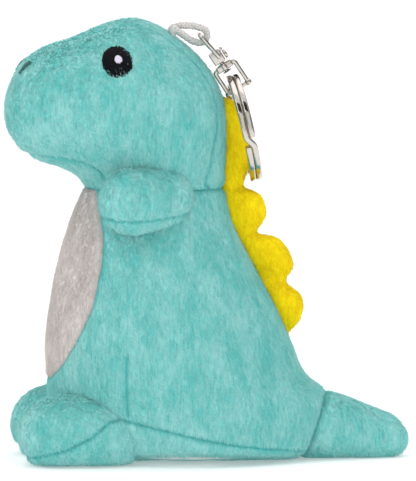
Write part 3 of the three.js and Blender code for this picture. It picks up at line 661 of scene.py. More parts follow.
class Skin:
    """One stuffed bag, cut along its seams into panels that are separate pieces."""

    def __init__(self, grid, seams, panel_of, creases=(), joins=(), depth=SEAM_DEPTH):
        mesh = grid_mesh("bag", grid)
        bm = bmesh.new()
        bm.from_mesh(mesh)
        for field in seams:
            cut_along(bm, field)
        bm.to_mesh(mesh)
        bm.free()
        centres = np.array([p.center for p in mesh.polygons])
        mesh.polygons.foreach_set("material_index", panel_of(centres).astype(np.int32))
        holder = place_object("bag", mesh)
        holder.modifiers.new("finer", "SUBSURF").levels = 1
        fine = holder.evaluated_get(bpy.context.evaluated_depsgraph_get()).data
        self.points = np.array([v.co for v in fine.vertices])
        self.normals = np.array([v.normal for v in fine.vertices])
        self.quads = np.empty(len(fine.loops), np.int32)
        fine.loops.foreach_get("vertex_index", self.quads)
        self.quads = self.quads.reshape(-1, 4)
        self.panel = np.empty(len(fine.polygons), np.int32)
        fine.polygons.foreach_get("material_index", self.panel)
        bpy.data.objects.remove(holder)
        bpy.data.meshes.remove(mesh)
        for field, facing in joins:
            self.stay_in_plane(field, np.asarray(facing, float))
        self.furrow(creases, depth)

    def stay_in_plane(self, field, facing):
        """Keeps points near a flat join with another bag from moving off it."""
        near = np.exp(-((field(self.points) / JOIN_REACH) ** 2))
        facing = facing / np.linalg.norm(facing)
        self.normals = self.normals - (near * (self.normals @ facing))[:, None] * facing

    def furrow(self, creases, depth):
        """Sinks the seams and raises the pile."""
        ends = np.sort(edges_of(self.quads), axis=1)
        side = np.repeat(self.panel, 4)
        order = np.lexsort((ends[:, 1], ends[:, 0]))
        ends, side = ends[order], side[order]
        paired = np.all(ends[1:] == ends[:-1], axis=1) & (side[1:] != side[:-1])
        seam_points = self.points[np.unique(ends[1:][paired])]
        places = [*seam_points, *(point for crease in creases for point in crease)]
        tree = KDTree(max(len(places), 1))
        for i, place in enumerate(places):
            tree.insert(place, i)
        tree.balance()
        far = 1.0
        distance = np.array([tree.find(p)[2] if places else far for p in self.points])
        # Nearness to a seam or crease: it calms the pile, shortens the fibres, and sets how much painted
        # shade the material lays there
        self.seam = np.exp(-((distance / SEAM_SHADE) ** 2))
        sunk = depth * np.exp(-((distance / SEAM_REACH) ** 2))
        sunk *= 1 + PUCKER * np.array([noise.noise(Vector(p) * PUCKER_SCALE) for p in self.points])
        raised = np.array([nap(p, n[HEIGHT] ** 2) + lumps(p) for p, n in zip(self.points, self.normals)])
        calm = 1 - 0.6 * self.seam
        self.points = self.points + self.normals * (raised * calm - sunk + SKIN_LIFT)[:, None]

    def panel_piece(self, name, number, material):
        """One panel as an object, with its edges turned in as a hem."""
        quads = self.quads[self.panel == number]
        used, local = np.unique(quads, return_inverse=True)
        local = local.reshape(-1, 4)
        points, normals, seam = self.points[used], self.normals[used], self.seam[used]
        edges = edges_of(local)
        _, first, count = np.unique(np.sort(edges, axis=1), axis=0, return_index=True, return_counts=True)
        border = edges[first[count == 1]]
        rim = np.unique(border)
        turned = {int(v): len(points) + i for i, v in enumerate(rim)}
        inner = points[rim] - normals[rim] * HEM
        hem = [[int(b), int(a), turned[int(a)], turned[int(b)]] for a, b in border]
        mesh = new_mesh(name, np.vstack([points, inner]), local.tolist() + hem)
        # The turned-in hem counts as fully in a seam, so it carries the full painted shade
        mark(mesh, "seam", [*seam, *np.ones(len(rim))])
        mark(mesh, "shown", [*np.ones(len(points)), *np.zeros(len(rim))])
        piece = piece_of(name, mesh, material)
        brush(piece, material, number)
        return piece


def piece_of(name, mesh, material):
    mesh.materials.clear()
    mesh.materials.append(material)
    mesh.polygons.foreach_set("use_smooth", np.ones(len(mesh.polygons), bool))
    return place_object(name, mesh)


def panel_pieces(skin, nodes, material=TEAL, bend=None):
    """The panels of a bag as pieces on the plush, or, when a bend is given, as loose pieces with their
    placing baked in.
    """
    for number, node in enumerate(nodes):
        white = node == "belly_panel"
        piece = skin.panel_piece(node + "_pile", number, WHITE if white else material)
        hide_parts(node)
        if bend:
            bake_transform(piece)
        else:
            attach(piece, "plush")


def line_field(points, along, across):
    """A seam given as points in the side view: the distance of a place across it, as a function of
    the place along it."""
    table = np.array(sorted(points, key=lambda p: p[0])) * MM
    return lambda co: co[:, across] - np.interp(co[:, along], table[:, 0], table[:, 1])


def panelled(field, *cuts):
    """A bag's panels: 0 and 1 on the two sides of a field, then each cut's own number where it holds."""
    def panel_of(co):
        panel = np.where(field(co) > 0, 0, 1)
        for number, holds in cuts:
            panel[holds(co)] = number
        return panel
    return panel_of


def buried(co, form, depth):
    """Which places lie deeper than this inside a closed form."""
    inside = np.zeros(len(co), bool)
    for i, place in enumerate(co):
        near, normal, _, distance = form.find_nearest(Vector(place))
        inside[i] = distance > depth and (Vector(place) - near).dot(normal) < 0
    return inside


HIDDEN = 9                    # the number of what no panel covers, inside another bag
middle_field = lambda co: co[:, SIDE]

# Head: two sides, the gusset over the back, and the chin
JAW_LINE = [
    (-60, 79.6), (-43, 78.8), (-37, 78.2), (-32.5, 77), (-29.5, 75.4), (-27, 72.4), (-26, 61), (60, 0),
]
GUSSET_HALF = 9 * MM
GUSSET_TOP = 34 * MM
neck_field = lambda co: co[:, HEIGHT] - NECK
jaw_field = line_field(JAW_LINE, LENGTH, HEIGHT)


def gusset_field(co):
    up = (-(co[:, LENGTH] + 16 * MM) + co[:, HEIGHT] - NECK - 16 * MM) / math.sqrt(2)
    out = (co[:, LENGTH] + 16 * MM + co[:, HEIGHT] - NECK - 16 * MM) / math.sqrt(2)
    u = np.clip((up - 4 * MM) / (GUSSET_TOP - 4 * MM), 0, 1)
    half = GUSSET_HALF * (1 - u**2.2) ** 0.9 + 0.23 * np.maximum(-up - 4 * MM, 0)
    inside = half - np.abs(co[:, SIDE])
    return np.where((out > 0) & (up < GUSSET_TOP), inside, -1.0 * MM)


def near_zero(*fields, reach=1.4 * MM):
    return lambda co: np.any([np.abs(field(co)) < reach for field in fields], axis=0)


def make_head():
    seams = [neck_field, jaw_field, gusset_field, middle_field]
    shape = partial(bag_grid, HEAD_STATIONS, HEAD_HALF, lift=(0, NECK / MM))
    grid = stuffed(shape, 52, 56, near_zero(*seams))
    panels = panelled(
        middle_field, (2, lambda co: gusset_field(co) > 0), (3, lambda co: jaw_field(co) < 0),
        (HIDDEN, lambda co: neck_field(co) < 0),
    )
    skin = Skin(grid, seams, panels, joins=[(neck_field, (0, 0, 1))])
    panel_pieces(skin, ["head_side_left", "head_side_right", "head_gusset", "chin_panel"])
    return grid


# Body: two sides, the white belly, and the base
BELLY_LINE = [
    (71.4, -29.6), (58.1, -28.2), (51.1, -28.8), (40.6, -31.2), (31.5, -35.2), (23.8, -39.4), (16.8, -44),
]
BASE_LINE = [(-60, 13.5), (-24, 12.3), (-14.5, 10.0), (-6.3, 7.9), (8, 5.2), (22, 3.0), (60, 2)]
DART = [(-24.0, 28.7), (-24.4, 12.6)]
belly_field = line_field(BELLY_LINE, HEIGHT, LENGTH)
base_field = line_field(BASE_LINE, LENGTH, HEIGHT)


def tail_field(co):
    """In front of the tail's seam, a sloping plane."""
    top, bottom = (30.2 * MM, 17.2 * MM), (23.9 * MM, 1.6 * MM)
    slope = (top[0] - bottom[0]) / (top[1] - bottom[1])
    return co[:, LENGTH] - bottom[0] - slope * (co[:, HEIGHT] - bottom[1])


TAIL_FACING = (0, 15.6, -6.3)


def dart_crease(side):
    """The dart up the side of the body over a foot, followed on its surface."""
    steps = np.linspace(0, 1, 40)
    start, end = np.array(DART) * MM
    return [(side * BODY_HALF, *(start + (end - start) * t)) for t in steps]


def make_body():
    fields = [neck_field, belly_field, base_field, tail_field]
    grid = stuffed(partial(bag_grid, BODY_STATIONS, BODY_HALF), 44, 64, near_zero(*fields))
    rest_on_floor(grid, 0.0, BODY_HALF, 4.6 * MM, 0.045)
    surface = BVHTree.FromPolygons(grid_points(grid).tolist(), grid_faces(132, 192))
    darts = [[surface.find_nearest(Vector(p))[0] for p in dart_crease(side)] for side in (1, -1)]
    joins = [(neck_field, (0, 0, 1)), (tail_field, TAIL_FACING)]
    panels = panelled(
        middle_field, (2, lambda co: belly_field(co) < 0), (3, lambda co: base_field(co) < 0),
        (HIDDEN, lambda co: neck_field(co) > 0), (HIDDEN, lambda co: tail_field(co) > 0),
    )
    skin = Skin(grid, [*fields, middle_field], panels, darts, joins)
    panel_pieces(skin, ["body_side_left", "body_side_right", "belly_panel", "base_panel"])
    return grid


# ------------------------------
# Feet, arms, tail and crest
# ------------------------------

SOLE_LINE = [(-60, 1.6), (-46, 2.6), (-38, 5), (-32, 8), (-27, 12), (-10, 16)]
sole_field = line_field(SOLE_LINE, LENGTH, HEIGHT)


def form_of(grid):
    """A bag's surface, to find the nearest place on it."""
    mesh = grid_mesh("form", grid)
    bm = bmesh.new()
    bm.from_mesh(mesh)
    form = BVHTree.FromBMesh(bm)
    bm.free()
    bpy.data.meshes.remove(mesh)
    return form


def make_feet(body_form):
    middle = (FOOT_LOW.x + FOOT_HIGH.x) / 2
    half = (FOOT_HIGH.x - FOOT_LOW.x) / 2
    for side, sign in (("left", 1), ("right", -1)):
        shape = partial(bag_grid, FOOT_STATIONS, half, centre_x=sign * middle / MM)
        grid = stuffed(shape, 24, 40, near_zero(sole_field))
        rest_on_floor(grid, sign * middle, half, 1.6 * MM, 0.0)
        in_body = partial(buried, form=body_form, depth=2 * MM)
        skin = Skin(grid, [sole_field], panelled(sole_field, (HIDDEN, in_body)))
        panel_pieces(skin, [f"foot_upper_{side}", f"foot_sole_{side}"])


SHOULDER = np.array([12.0, -12.5, -2.0]) * MM
HAND = np.array([21.6, -21.2, -2.2]) * MM
ROOT_PROUD = np.array([2.8, -0.6, 0.2]) * MM    # how far the stuffing pushes the root of an arm out
ARM_RADIUS = 8.4 * MM
ARM_SEAM = -5.5 * MM          # below the neck
ARM_SLIMMER = 0.05            # at the shoulder, as a share of the radius


def arm_grid(sign, rows, columns):
    """A straight arm with round ends, slimmer at the shoulder."""
    turned = np.array([sign, 1, 1])
    start, end = (SHOULDER + ROOT_PROUD) * turned, HAND * turned
    start, end = start + [0, 0, NECK], end + [0, 0, NECK]
    along = (end - start) / np.linalg.norm(end - start)
    across = np.cross(along, [0, 0, 1])
    across /= np.linalg.norm(across)
    up = np.cross(across, along)
    quarter = math.pi / 2 * ARM_RADIUS
    straight = np.linalg.norm(end - start)
    grid = np.zeros((rows + 1, columns, 3))
    turn = np.linspace(0, 2 * np.pi, columns, endpoint=False)
    whole = 2 * quarter + straight
    ring = np.cos(turn)[:, None] * across + np.sin(turn)[:, None] * up
    for i, reach in enumerate(np.linspace(0, whole, rows + 1)):
        bend = np.clip(reach / quarter, 0, 1) - 1 + np.clip((reach - quarter - straight) / quarter, 0, 1)
        forward = np.clip(reach - quarter, 0, straight) + ARM_RADIUS * math.sin(bend * math.pi / 2)
        slim = 1 - ARM_SLIMMER * (1 - reach / whole)
        grid[i] = start + forward * along + ARM_RADIUS * math.cos(bend * math.pi / 2) * slim * ring
    return grid


def arm_field(co):
    bow = -1.2 * MM * np.sin((co[:, LENGTH] + 34 * MM) / (28 * MM) * math.pi)
    return co[:, HEIGHT] - NECK - ARM_SEAM - bow


def make_arms(body_form):
    for side, sign in (("left", 1), ("right", -1)):
        grid = stuffed(partial(arm_grid, sign), 24, 36, near_zero(arm_field), cap=0.7 * MM)
        in_body = partial(buried, form=body_form, depth=3.5 * MM)
        skin = Skin(grid, [arm_field], panelled(arm_field, (HIDDEN, in_body)), depth=0.45 * MM)
        joint, hand = (place * [sign, 1, 1] + [0, 0, NECK] for place in (SHOULDER, HAND))
        bend = dict(body=f"arm_{side}", start=joint, end=(joint + hand) / 2)
        panel_pieces(skin, [f"arm_upper_{side}", f"arm_lower_{side}"], bend=bend)


def make_tail():
    grid = stuffed(partial(bag_grid, TAIL_STATIONS, TAIL_HALF), 28, 36, near_zero(tail_field, middle_field))
    grid[..., HEIGHT] = np.maximum(grid[..., HEIGHT], FLOOR_CLEAR)
    panels = panelled(middle_field, (HIDDEN, lambda co: tail_field(co) < 0))
    skin = Skin(grid, [tail_field, middle_field], panels, joins=[(tail_field, TAIL_FACING)])
    bend = dict(body="tail", start=(0, 25 * MM, 9 * MM), end=(0, 34 * MM, 8 * MM))
    panel_pieces(skin, ["tail_side_left", "tail_side_right"], bend=bend)


def make_crest(body_form, head_form):
    held = near_zero(middle_field, reach=0.6 * MM)
    shape = partial(bag_grid, CREST_STATIONS, CREST_HALF)
    grid = stuffed(shape, 56, 24, held, cap=0.8 * MM, fine=(196, 64))
    covered = [(HIDDEN, partial(buried, form=form, depth=1.5 * MM)) for form in (body_form, head_form)]
    skin = Skin(grid, [middle_field], panelled(middle_field, *covered))
    panel_pieces(skin, ["crest_face_left", "crest_face_right"], YELLOW)


# ------------------------------
# Embroidery
# ------------------------------

STITCH_POINTS = 16
RAY_START = 60 * MM           # out beside the head


def satin_patch_tree():
    """Rows of satin stitches over an oval, laid on a form from the side by casting rays at it."""
    tree = Tree("satin_patch", {
        "Half Length": ("Float", 3.7 * MM),
        "Half Width": ("Float", 3.7 * MM),
        "Row Spacing": ("Float", 0.3 * MM),
        "Thread Radius": ("Float", 0.2 * MM),
        "Raggedness": ("Float", 0.25 * MM),
        "Lift": ("Float", 0.2 * MM),
        "Place": ("Vector", (0, 0, 0)),
        "Turn": ("Float", 0.0),
        "Side": ("Float", 1.0),
        "Form": ("Object", None),
        "Thread": ("Material", None),
        "Seed": ("Int", 1),
    })
    half_length, half_width, spacing, thickness, raggedness, lift = tree.inputs[:6]
    place, turn, side, form, material, seed = tree.inputs[6:]
    index = tree.add("GeometryNodeInputIndex")
    rows = {"Count": half_length * 2.0 / spacing + 1.0}
    rows = tree.add("GeometryNodeMeshLine", {"mode": "OFFSET"}, rows)
    row = index * spacing - half_length
    share = row / half_length
    chord = tree.maths("SQRT", tree.maths("MAXIMUM", 1.0 - share * share, 0.02))
    ragged = {"Min": -1.0, "Max": 1.0, "ID": index, "Seed": seed}
    ragged = tree.add("FunctionNodeRandomValue", {"data_type": "FLOAT"}, ragged, out=1)
    half = chord * half_width + ragged * raggedness
    placed = tree.add("GeometryNodeSetPosition", values={"Geometry": rows, "Position": tree.xyz(Z=row)})
    stitch = tree.add("GeometryNodeCurvePrimitiveLine", values={"Start": (0, -1, 0), "End": (0, 1, 0)})
    stitch = tree.add("GeometryNodeResampleCurve", values={"Curve": stitch, "Count": STITCH_POINTS})
    laid = {"Points": placed, "Instance": stitch, "Scale": tree.xyz(X=1.0, Y=half, Z=1.0)}
    laid = tree.add("GeometryNodeInstanceOnPoints", values=laid)
    curves = tree.add("GeometryNodeRealizeInstances", values={0: laid})
    turned = {"Vector": tree.add("GeometryNodeInputPosition"), "Center": (0, 0, 0), "Angle": turn}
    turned = tree.add("ShaderNodeVectorRotate", {"rotation_type": "X_AXIS"}, turned)
    outside = tree.xyz(X=side * RAY_START)
    rays = {
        "Target Geometry": tree.geometry_of(form), "Ray Direction": tree.xyz(X=side * -1.0),
        "Source Position": tree.vector("ADD", tree.vector("ADD", turned, place), outside),
    }
    hit, normal = tree.add("GeometryNodeRaycast", values=rays, out=("Hit Position", "Hit Normal"))
    rise = tree.maths("SINE", tree.add("GeometryNodeSplineParameter") * math.pi)
    rise = tree.maths("POWER", rise, 0.35) * lift
    there = tree.vector("ADD", hit, tree.vector("SCALE", normal, rise))
    sewn = tree.add("GeometryNodeSetPosition", values={"Geometry": curves, "Position": there})
    return tree.finish(tree.thread_round(sewn, thickness), material)


EYE_AT = (0, -24.7 * MM, NECK + 33.3 * MM)
GLINT_AT = (0, -24.4 * MM, NECK + 33.6 * MM)


def make_embroidery(head_grid):
    mesh = grid_mesh("head_form", head_grid)
    form = place_object("head_form", mesh)
    tree = satin_patch_tree()
    patches = [
        ("eye_{}_under", EYE_AT, BLACK, "black_thread", dict(Turn=0.0, Lift=0.15 * MM, Seed=3)),
        ("eye_{}_satin", EYE_AT, BLACK, "black_thread", dict(Turn=1.25, Lift=0.55 * MM, Seed=8)),
        ("eye_glint_{}_satin", GLINT_AT, PALE, "pale_thread", dict(
            Turn=0.3, Lift=0.95 * MM, Half_Length=0.85 * MM, Half_Width=1.05 * MM, Row_Spacing=0.2 * MM,
            Thread_Radius=0.15 * MM, Raggedness=0.08 * MM, Seed=5,
        )),
    ]
    for side, sign in (("left", 1.0), ("right", -1.0)):
        for name, place, material, slot, values in patches:
            where = dict(Place=place, Side=sign, Form=form)
            piece = tree.mesh(name.format(side), Thread=material, **where, **values)
            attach(piece, "plush")
            if not name.endswith("under"):
                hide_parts(name.format(side).replace("_satin", ""))
    bpy.data.objects.remove(form)
    bpy.data.meshes.remove(mesh)


# ------------------------------
# Cord loop: out of the crown, round the swivel's top bar and back, with heights above the neck
# ------------------------------

CORD_POINTS = [
    (0.0, -9.4, 40.2), (0.0, -8.4, 40.9), (0.0, -6.6, 41.3), (0.0, -4.2, 41.2), (0.0, -2.2, 40.8),
    (0.0, -0.5, 40.0), (0.0, -0.1, 38.7), (0.1, -0.7, 37.4), (0.4, -2.0, 36.8), (0.9, -3.6, 37.2),
    (1.5, -5.2, 38.1), (1.9, -6.8, 39.3), (2.0, -8.2, 40.1), (1.9, -9.0, 40.3),
]
CORD_TAILS = [(0.0, -9.7, 36.1), (1.7, -9.4, 36.1)]   # the ends, sewn in under the crown
CORD_STEPS = 120
STRANDS = 8
STRAND_POINTS = 260
BRAID_PITCH = 3.4 * MM


def braid_tree():
    """Strands wound both ways round a line, each ducking under the ones that it crosses."""
    tree = Tree("braid", {
        "Strands": ("Int", STRANDS),
        "Radius": ("Float", 0.6 * MM),
        "Weave": ("Float", 0.1 * MM),
        "Thread Radius": ("Float", 0.3 * MM),
        "Turns": ("Float", 10.0),
        "Line": ("Object", None),
        "Thread": ("Material", None),
    })
    count, radius, weave, thickness, turns, line, material = tree.inputs
    drawn = tree.add("GeometryNodeMeshToCurve", values={"Mesh": tree.geometry_of(line)})
    drawn = tree.add("GeometryNodeResampleCurve", values={"Curve": drawn, "Count": STRAND_POINTS})
    doubled, number = tree.add(
        "GeometryNodeDuplicateElements", {"domain": "SPLINE"}, {"Geometry": drawn, "Amount": count},
        out=("Geometry", "Duplicate Index"),
    )
    way = tree.maths("MODULO", number, 2.0) * 2.0 - 1.0
    phase = tree.maths("FLOOR", number / 2.0) * (4 * math.pi / STRANDS)
    wound = tree.add("GeometryNodeSplineParameter") * turns * (2 * math.pi)
    angle = wound * way + phase
    crossing = tree.maths("SINE", wound * (STRANDS / 4) + phase)
    radius = radius + crossing * way * weave
    normal = tree.add("GeometryNodeInputNormal")
    across = tree.vector("CROSS_PRODUCT", normal, tree.add("GeometryNodeInputTangent"))
    offset = tree.vector(
        "ADD", tree.vector("SCALE", normal, tree.maths("COSINE", angle) * radius),
        tree.vector("SCALE", across, tree.maths("SINE", angle) * radius),
    )
    moved = tree.add("GeometryNodeSetPosition", values={"Geometry": doubled, "Offset": offset})
    return tree.finish(tree.thread_round(moved, thickness), material)


def cord_route():
    points = [CORD_TAILS[0], *CORD_POINTS, CORD_TAILS[1]]
    placed = (np.array(points) + [0, 0, NECK / MM]) * MM
    return along_curve(placed, np.linspace(0, 1, CORD_STEPS))


def make_cord():
    route = cord_route()
    length = float(np.linalg.norm(np.diff(route, axis=0), axis=1).sum())
    steps = [(i, i + 1) for i in range(CORD_STEPS - 1)]
    line = place_object("cord_line", new_mesh("cord_line", route, [], steps))
    piece = braid_tree().mesh("cord_loop_braid", Line=line, Thread=CORD, Turns=length / BRAID_PITCH)
    bpy.data.objects.remove(line)
    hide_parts("cord_loop", "cord_anchor")
    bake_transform(piece)


# ------------------------------
# Swivel and split ring. The swivel's own frame hangs from its top bar along -z, and +y faces away
# from the head. Lengths in it are millimetres.
# ------------------------------

SWIVEL_LEAN = 33.4
RING_LEAN = 12.8
EYE_BAR = Vector((0, -2.1 * MM, NECK + 38.8 * MM))
BAR = 1.1
EYE_WIDTH = 7.4
EYE_LENGTH = 7.6
EYE_SLANT = 7.5
AXIS_Y = 0.85
BARREL_BOTTOM = 8.9
LINK_TOP = 9.5
LINK_THICK = 1.7
LINK_INNER = 4.8
WIRE_AT = 14.17
LINK_BAR = 16.99
RING_D = 28.0
WIRE_AXIAL = 3.2
WIRE_RADIAL = 2.3
WIRE_GAP = 0.08
BARREL_HALF = 2.0
BARREL_TOP = 5.6              # and the foot of the eye's opening
BARREL_BACK = AXIS_Y - 1.9
BARREL_FACE = AXIS_Y + 1.3
KNOB = BAR * 0.84
SHARP_EDGE = math.radians(40)


def swivel_frame():
    """From the swivel's own frame, in millimetres, to the object's."""
    lean = Matrix.Rotation(math.radians(SWIVEL_LEAN), 4, "X")
    return Matrix.Translation(EYE_BAR) @ lean @ Matrix.Scale(MM, 4)


def ring_frame():
    hung = Matrix.Translation(Vector((0, AXIS_Y, -WIRE_AT)))
    lean = Matrix.Rotation(math.radians(RING_LEAN - SWIVEL_LEAN), 4, "X")
    return swivel_frame() @ hung @ lean


def rounded_section(width, depth, corner, steps=5):
    """A rectangle with round corners, as points in its plane."""
    points = []
    for quarter, (sx, sy) in enumerate(((1, 1), (-1, 1), (-1, -1), (1, -1))):
        centre = np.array([sx * (width / 2 - corner), sy * (depth / 2 - corner)])
        for angle in np.linspace(0, math.pi / 2, steps) + quarter * math.pi / 2:
            points.append(centre + corner * np.array([math.cos(angle), math.sin(angle)]))
    return np.array(points)


def skinned(bm, rings, closed=False):
    """Faces from each ring of points to the next, with the ends filled unless the last meets the first."""
    around = len(rings[0])
    for a, b in zip(rings, rings[1:] + rings[:1] if closed else rings[1:]):
        for j in range(around):
            k = (j + 1) % around
            bm.faces.new((a[j], a[k], b[k], b[j]))
    if not closed:
        bm.faces.new(rings[0][::-1])
        bm.faces.new(rings[-1])


def swept(bm, path, section, side, closed=False, taper=0.0):
    """Sweeps a section along a path; side gives the section's first direction at each point."""
    path = np.asarray(path, float)
    count = len(path)
    ahead = np.roll(path, -1, axis=0) - np.roll(path, 1, axis=0)
    if not closed:
        ahead[0], ahead[-1] = path[1] - path[0], path[-1] - path[-2]
    rings = []
    for i in range(count):
        t = ahead[i] / np.linalg.norm(ahead[i])
        first = np.asarray(side(i), float)
        first = first - t * first.dot(t)
        first /= np.linalg.norm(first)
        second = np.cross(t, first)
        scale = 1.0
        if taper and not closed:
            near = min(i, count - 1 - i)
            scale = 1 - taper * max(0, 1 - near / 2) ** 2
        rings.append([bm.verts.new(path[i] + scale * (u * first + v * second)) for u, v in section])
    skinned(bm, rings, closed)


def lathed(bm, profile, place, axis="Z", steps=28):
    """Turns a profile of (radius, height) about an axis and closes it at both ends."""
    turn = Matrix.Rotation(-math.pi / 2, 3, "X") if axis == "Y" else Matrix.Identity(3)
    angles = [2 * math.pi * j / steps for j in range(steps)]
    rings = []
    for radius, height in profile:
        ring = [Vector((radius * math.cos(angle), radius * math.sin(angle), height)) for angle in angles]
        rings.append([bm.verts.new(turn @ point + Vector(place)) for point in ring])
    skinned(bm, rings)


def rounded_box(bm, low, high, corner):
    low, high = Vector(low), Vector(high)
    made = bmesh.ops.create_cube(bm, size=1.0)
    for vert in made["verts"]:
        for axis in range(3):
            vert.co[axis] = low[axis] if vert.co[axis] < 0 else high[axis]
    edges = list(dict.fromkeys(edge for vert in made["verts"] for edge in vert.link_edges))
    bmesh.ops.bevel(bm, geom=edges, offset=corner, segments=4, profile=0.5, affect="EDGES")


def chamfered(radius, low, high, edge=0.2):
    """A round bar's profile with softened ends."""
    return [
        (radius - edge, low), (radius - edge * 0.3, low + edge * 0.3), (radius, low + edge),
        (radius, high - edge), (radius - edge * 0.3, high - edge * 0.3), (radius - edge, high),
    ]


def metal_piece(name, bm, frame_of, body, nodes):
    bmesh.ops.recalc_face_normals(bm, faces=bm.faces)
    bmesh.ops.transform(bm, matrix=frame_of, verts=bm.verts)
    mesh = bpy.data.meshes.new(name)
    bm.to_mesh(mesh)
    bm.free()
    piece = piece_of(name, mesh, NICKEL)
    mesh.set_sharp_from_angle(angle=SHARP_EDGE)
    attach(piece, body)
    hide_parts(*nodes)


def corner_path(points, radius, steps=6):
    """A line through the points with its inner corners rounded off."""
    points = [np.array(p, float) for p in points]
    path = [points[0]]
    for before, at, after in zip(points, points[1:], points[2:]):
        into = (before - at) / np.linalg.norm(before - at)
        out = (after - at) / np.linalg.norm(after - at)
        for t in np.linspace(0, 1, steps):
            path.append(at + into * radius * (1 - t) ** 2 + out * radius * t**2)
    path.append(points[-1])
    return np.array(path)


def make_swivel():
    half = EYE_WIDTH / 2 - BAR / 2
    bm = bmesh.new()
    corners = [(half, 0, 0), (half, 0, -BARREL_TOP), (-half, 0, -BARREL_TOP), (-half, 0, 0)]
    loop = corner_path([(0, 0, 0), *corners, (0, 0, 0)], 1.1)
    swept(bm, loop[:-1], rounded_section(BAR, BAR, 0.4), lambda i: (0, 1, 0), closed=True)
    rounded_box(bm, (-EYE_WIDTH / 2, -BAR / 2, -EYE_LENGTH), (EYE_WIDTH / 2, BAR / 2, -4.6), 0.35)
    slanted = Matrix.Rotation(math.radians(EYE_SLANT), 4, "X")
    bmesh.ops.transform(bm, matrix=slanted, verts=bm.verts)
    low, high = (-BARREL_HALF, BARREL_BACK, -BARREL_BOTTOM), (BARREL_HALF, BARREL_FACE, -BARREL_TOP)
    rounded_box(bm, low, high, 0.3)
    lathed(bm, chamfered(1.25, -BARREL_BOTTOM - 0.12, -BARREL_BOTTOM + 0.4, 0.12), (0, AXIS_Y, 0))
    metal_piece("swivel_eye_plate", bm, swivel_frame(), "swivel_eye", ["swivel_eye"])

    bm = bmesh.new()
    lathed(bm, chamfered(1.15, 0.3, 1.2, 0.25), (0, BARREL_FACE, -BARREL_BOTTOM + 1.25), "Y")
    rounded_box(bm, (-0.9, BARREL_FACE + 1.0, -7.72), (0.9, BARREL_FACE + 1.22, -7.5), 0.06)
    metal_piece("swivel_nut_head", bm, swivel_frame(), "swivel_eye", ["swivel_nut"])
    bm = bmesh.new()
    dome = [(0.5 * math.cos(a), 0.45 + 0.42 * math.sin(a)) for a in np.linspace(0, 1.45, 8)]
    lathed(bm, [(0.5, 0.1), *dome], (0, BARREL_FACE, -5.9), "Y")
    metal_piece("swivel_rivet_head", bm, swivel_frame(), "swivel_eye", ["swivel_rivet"])

    bm = bmesh.new()
    head = LINK_TOP + LINK_THICK + 0.3
    flared = [(1.1, -head), (1.3, -head - 0.12), (1.15, -head - 0.32), (0.7, -head - 0.42)]
    lathed(bm, [(0.6, -6.4), (0.6, -head), *flared], (0, AXIS_Y, 0))
    metal_piece("swivel_post_rod", bm, swivel_frame(), "swivel_eye", ["swivel_post"])

    bm = bmesh.new()
    reach = LINK_INNER / 2 + BAR / 2
    top = -LINK_TOP - LINK_THICK / 2
    bow = corner_path([
        (0, AXIS_Y - reach, -LINK_BAR + 0.2), (0, AXIS_Y - reach, top), (0, AXIS_Y, top),
        (0, AXIS_Y + reach, top), (0, AXIS_Y + reach, -LINK_BAR + 0.2),
    ], 0.7)
    swept(bm, bow, rounded_section(BAR, BAR, 0.35), lambda i: (1, 0, 0))
    rounded_box(bm, (-1.3, AXIS_Y - 2.3, -LINK_TOP - LINK_THICK), (1.3, AXIS_Y + 2.3, -LINK_TOP), 0.35)
    lathed(bm, chamfered(1.5, -LINK_TOP - LINK_THICK + 0.1, -LINK_TOP + 0.14, 0.15), (0, AXIS_Y, 0))
    swept(
        bm, [(0, AXIS_Y - reach + k * reach / 4, -LINK_BAR) for k in range(9)],
        rounded_section(BAR, BAR, 0.5), lambda i: (1, 0, 0),
    )
    for y in (AXIS_Y - reach, AXIS_Y + reach):
        made = bmesh.ops.create_uvsphere(bm, u_segments=20, v_segments=12, radius=KNOB)
        bmesh.ops.translate(bm, verts=made["verts"], vec=(0, y, -LINK_BAR))
    metal_piece("swivel_link_bow", bm, swivel_frame(), "swivel_link", ["swivel_link"])


def make_split_ring():
    """Two turns of flat wire. Each end lies beside the place where the wire steps across."""
    bm = bmesh.new()
    middle = (RING_D - WIRE_RADIAL) / 2
    turn_width = (WIRE_AXIAL - WIRE_GAP) / 2
    step = (turn_width + WIRE_GAP) / 2
    crossing = math.radians(7)
    ends_at = math.radians(-12)
    path = []
    for angle in np.linspace(crossing * 0.75, 4 * math.pi - crossing * 0.75, 260):
        u = np.clip((angle - 2 * math.pi + crossing) / (2 * crossing), 0, 1)
        y = step * (1 - 2 * (3 * u**2 - 2 * u**3))
        around = ends_at + angle
        path.append((middle * math.cos(around), y, middle * math.sin(around) - middle))
    centre = np.array([0, 0, -middle])
    outward_at = lambda i: (np.array(path[i]) - centre) * [1, 0, 1]
    swept(bm, path, rounded_section(WIRE_RADIAL, turn_width, 0.42), outward_at, taper=0.12)
    metal_piece("split_ring_coil", bm, ring_frame(), "split_ring", ["split_ring"])


# ------------------------------
# Studio
# ------------------------------

SQUARE = [(-0.5, -0.5), (0.5, -0.5), (0.5, 0.5), (-0.5, 0.5)]
FLOOR_SIZE = 6
CARD_DISTANCE = 1.1


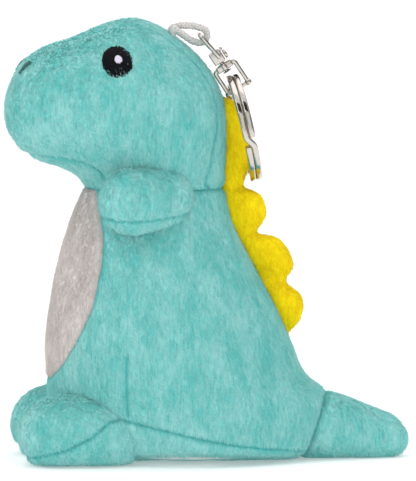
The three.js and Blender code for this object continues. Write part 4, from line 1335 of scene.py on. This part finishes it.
def make_dark_cards():
    """Black cards round the table. Only polished metal shows them, as its dark streaks."""
    finish = Finish("black_card", Base_Color=(0.004, 0.004, 0.005, 1), Roughness=1.0)
    cards = [
        (20, 15, 0.7, 1.0), (66, 12, 0.28, 0.9), (108, 25, 0.22, 0.8), (128, 5, 0.3, 1.1),
        (165, 25, 0.7, 0.8), (215, 20, 0.6, 0.9), (260, 30, 0.7, 0.6), (310, 15, 0.6, 0.9),
        (85, 50, 0.8, 0.42),
    ]
    for number, (azimuth, elevation, width, height) in enumerate(cards):
        back = direction(azimuth, elevation)
        turn = back.to_track_quat("Z", "Y").to_matrix().to_4x4()
        hung = Matrix.Translation(VIEW_TARGET + back * CARD_DISTANCE) @ turn
        corners = [hung @ Vector((width * x, height * y, 0)) for x, y in SQUARE]
        mesh = new_mesh(f"card_{number}", corners, [[0, 1, 2, 3]])
        card = piece_of(f"card_{number}", mesh, finish.material)
        card.visible_camera = card.visible_diffuse = card.visible_shadow = False


def make_studio():
    floor = new_mesh("floor", [(FLOOR_SIZE * x, FLOOR_SIZE * y, 0) for x, y in SQUARE], [[0, 1, 2, 3]])
    floor_finish = Finish(
        "floor", Base_Color=(0.86, 0.86, 0.86, 1), Roughness=0.8, Emission_Color=(1, 1, 1, 1),
        Emission_Strength=0.3,
    )
    piece_of("floor", floor, floor_finish.material)
    world = bpy.data.worlds.new("studio")
    world.use_nodes = True
    background = world.node_tree.nodes["Background"]
    background.inputs["Color"].default_value = (1, 1, 1, 1)
    background.inputs["Strength"].default_value = 1.0
    bpy.context.scene.world = world
    bpy.context.scene.view_settings.view_transform = "Standard"
    make_dark_cards()
    lights = [
        ("key", (0.75, -0.55, 0.9), 0.7, 2.2),
        ("top", (-0.2, 0.1, 1.0), 0.8, 1.4),
    ]
    for name, place, size, power in lights:
        data = bpy.data.lights.new(name, "AREA")
        data.size = size
        data.energy = power
        aimed(name, data, place, VIEW_TARGET - Vector(place))


def finish_carried_nodes():
    """The pieces kept as they were packed: the filling inside the bags, and the nostril stitches."""
    for name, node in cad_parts.items():
        finish = FIBRE if "filling" in name else GREY if name.startswith("nostril") else None
        if finish:
            node.data.materials.clear()
            node.data.materials.append(finish)


make_camera()
finish_carried_nodes()
make_cord()
FIBRE_BLADE, PILE_TREE = fibre_blade(), brushed_pile_tree()
make_swivel()
make_split_ring()
HEAD_GRID = make_head()
BODY_GRID = make_body()
HEAD_FORM, BODY_FORM = form_of(HEAD_GRID), form_of(BODY_GRID)
make_feet(BODY_FORM)
make_arms(BODY_FORM)
make_tail()
make_crest(BODY_FORM, HEAD_FORM)
make_embroidery(HEAD_GRID)
bpy.data.objects.remove(FIBRE_BLADE)
make_studio()
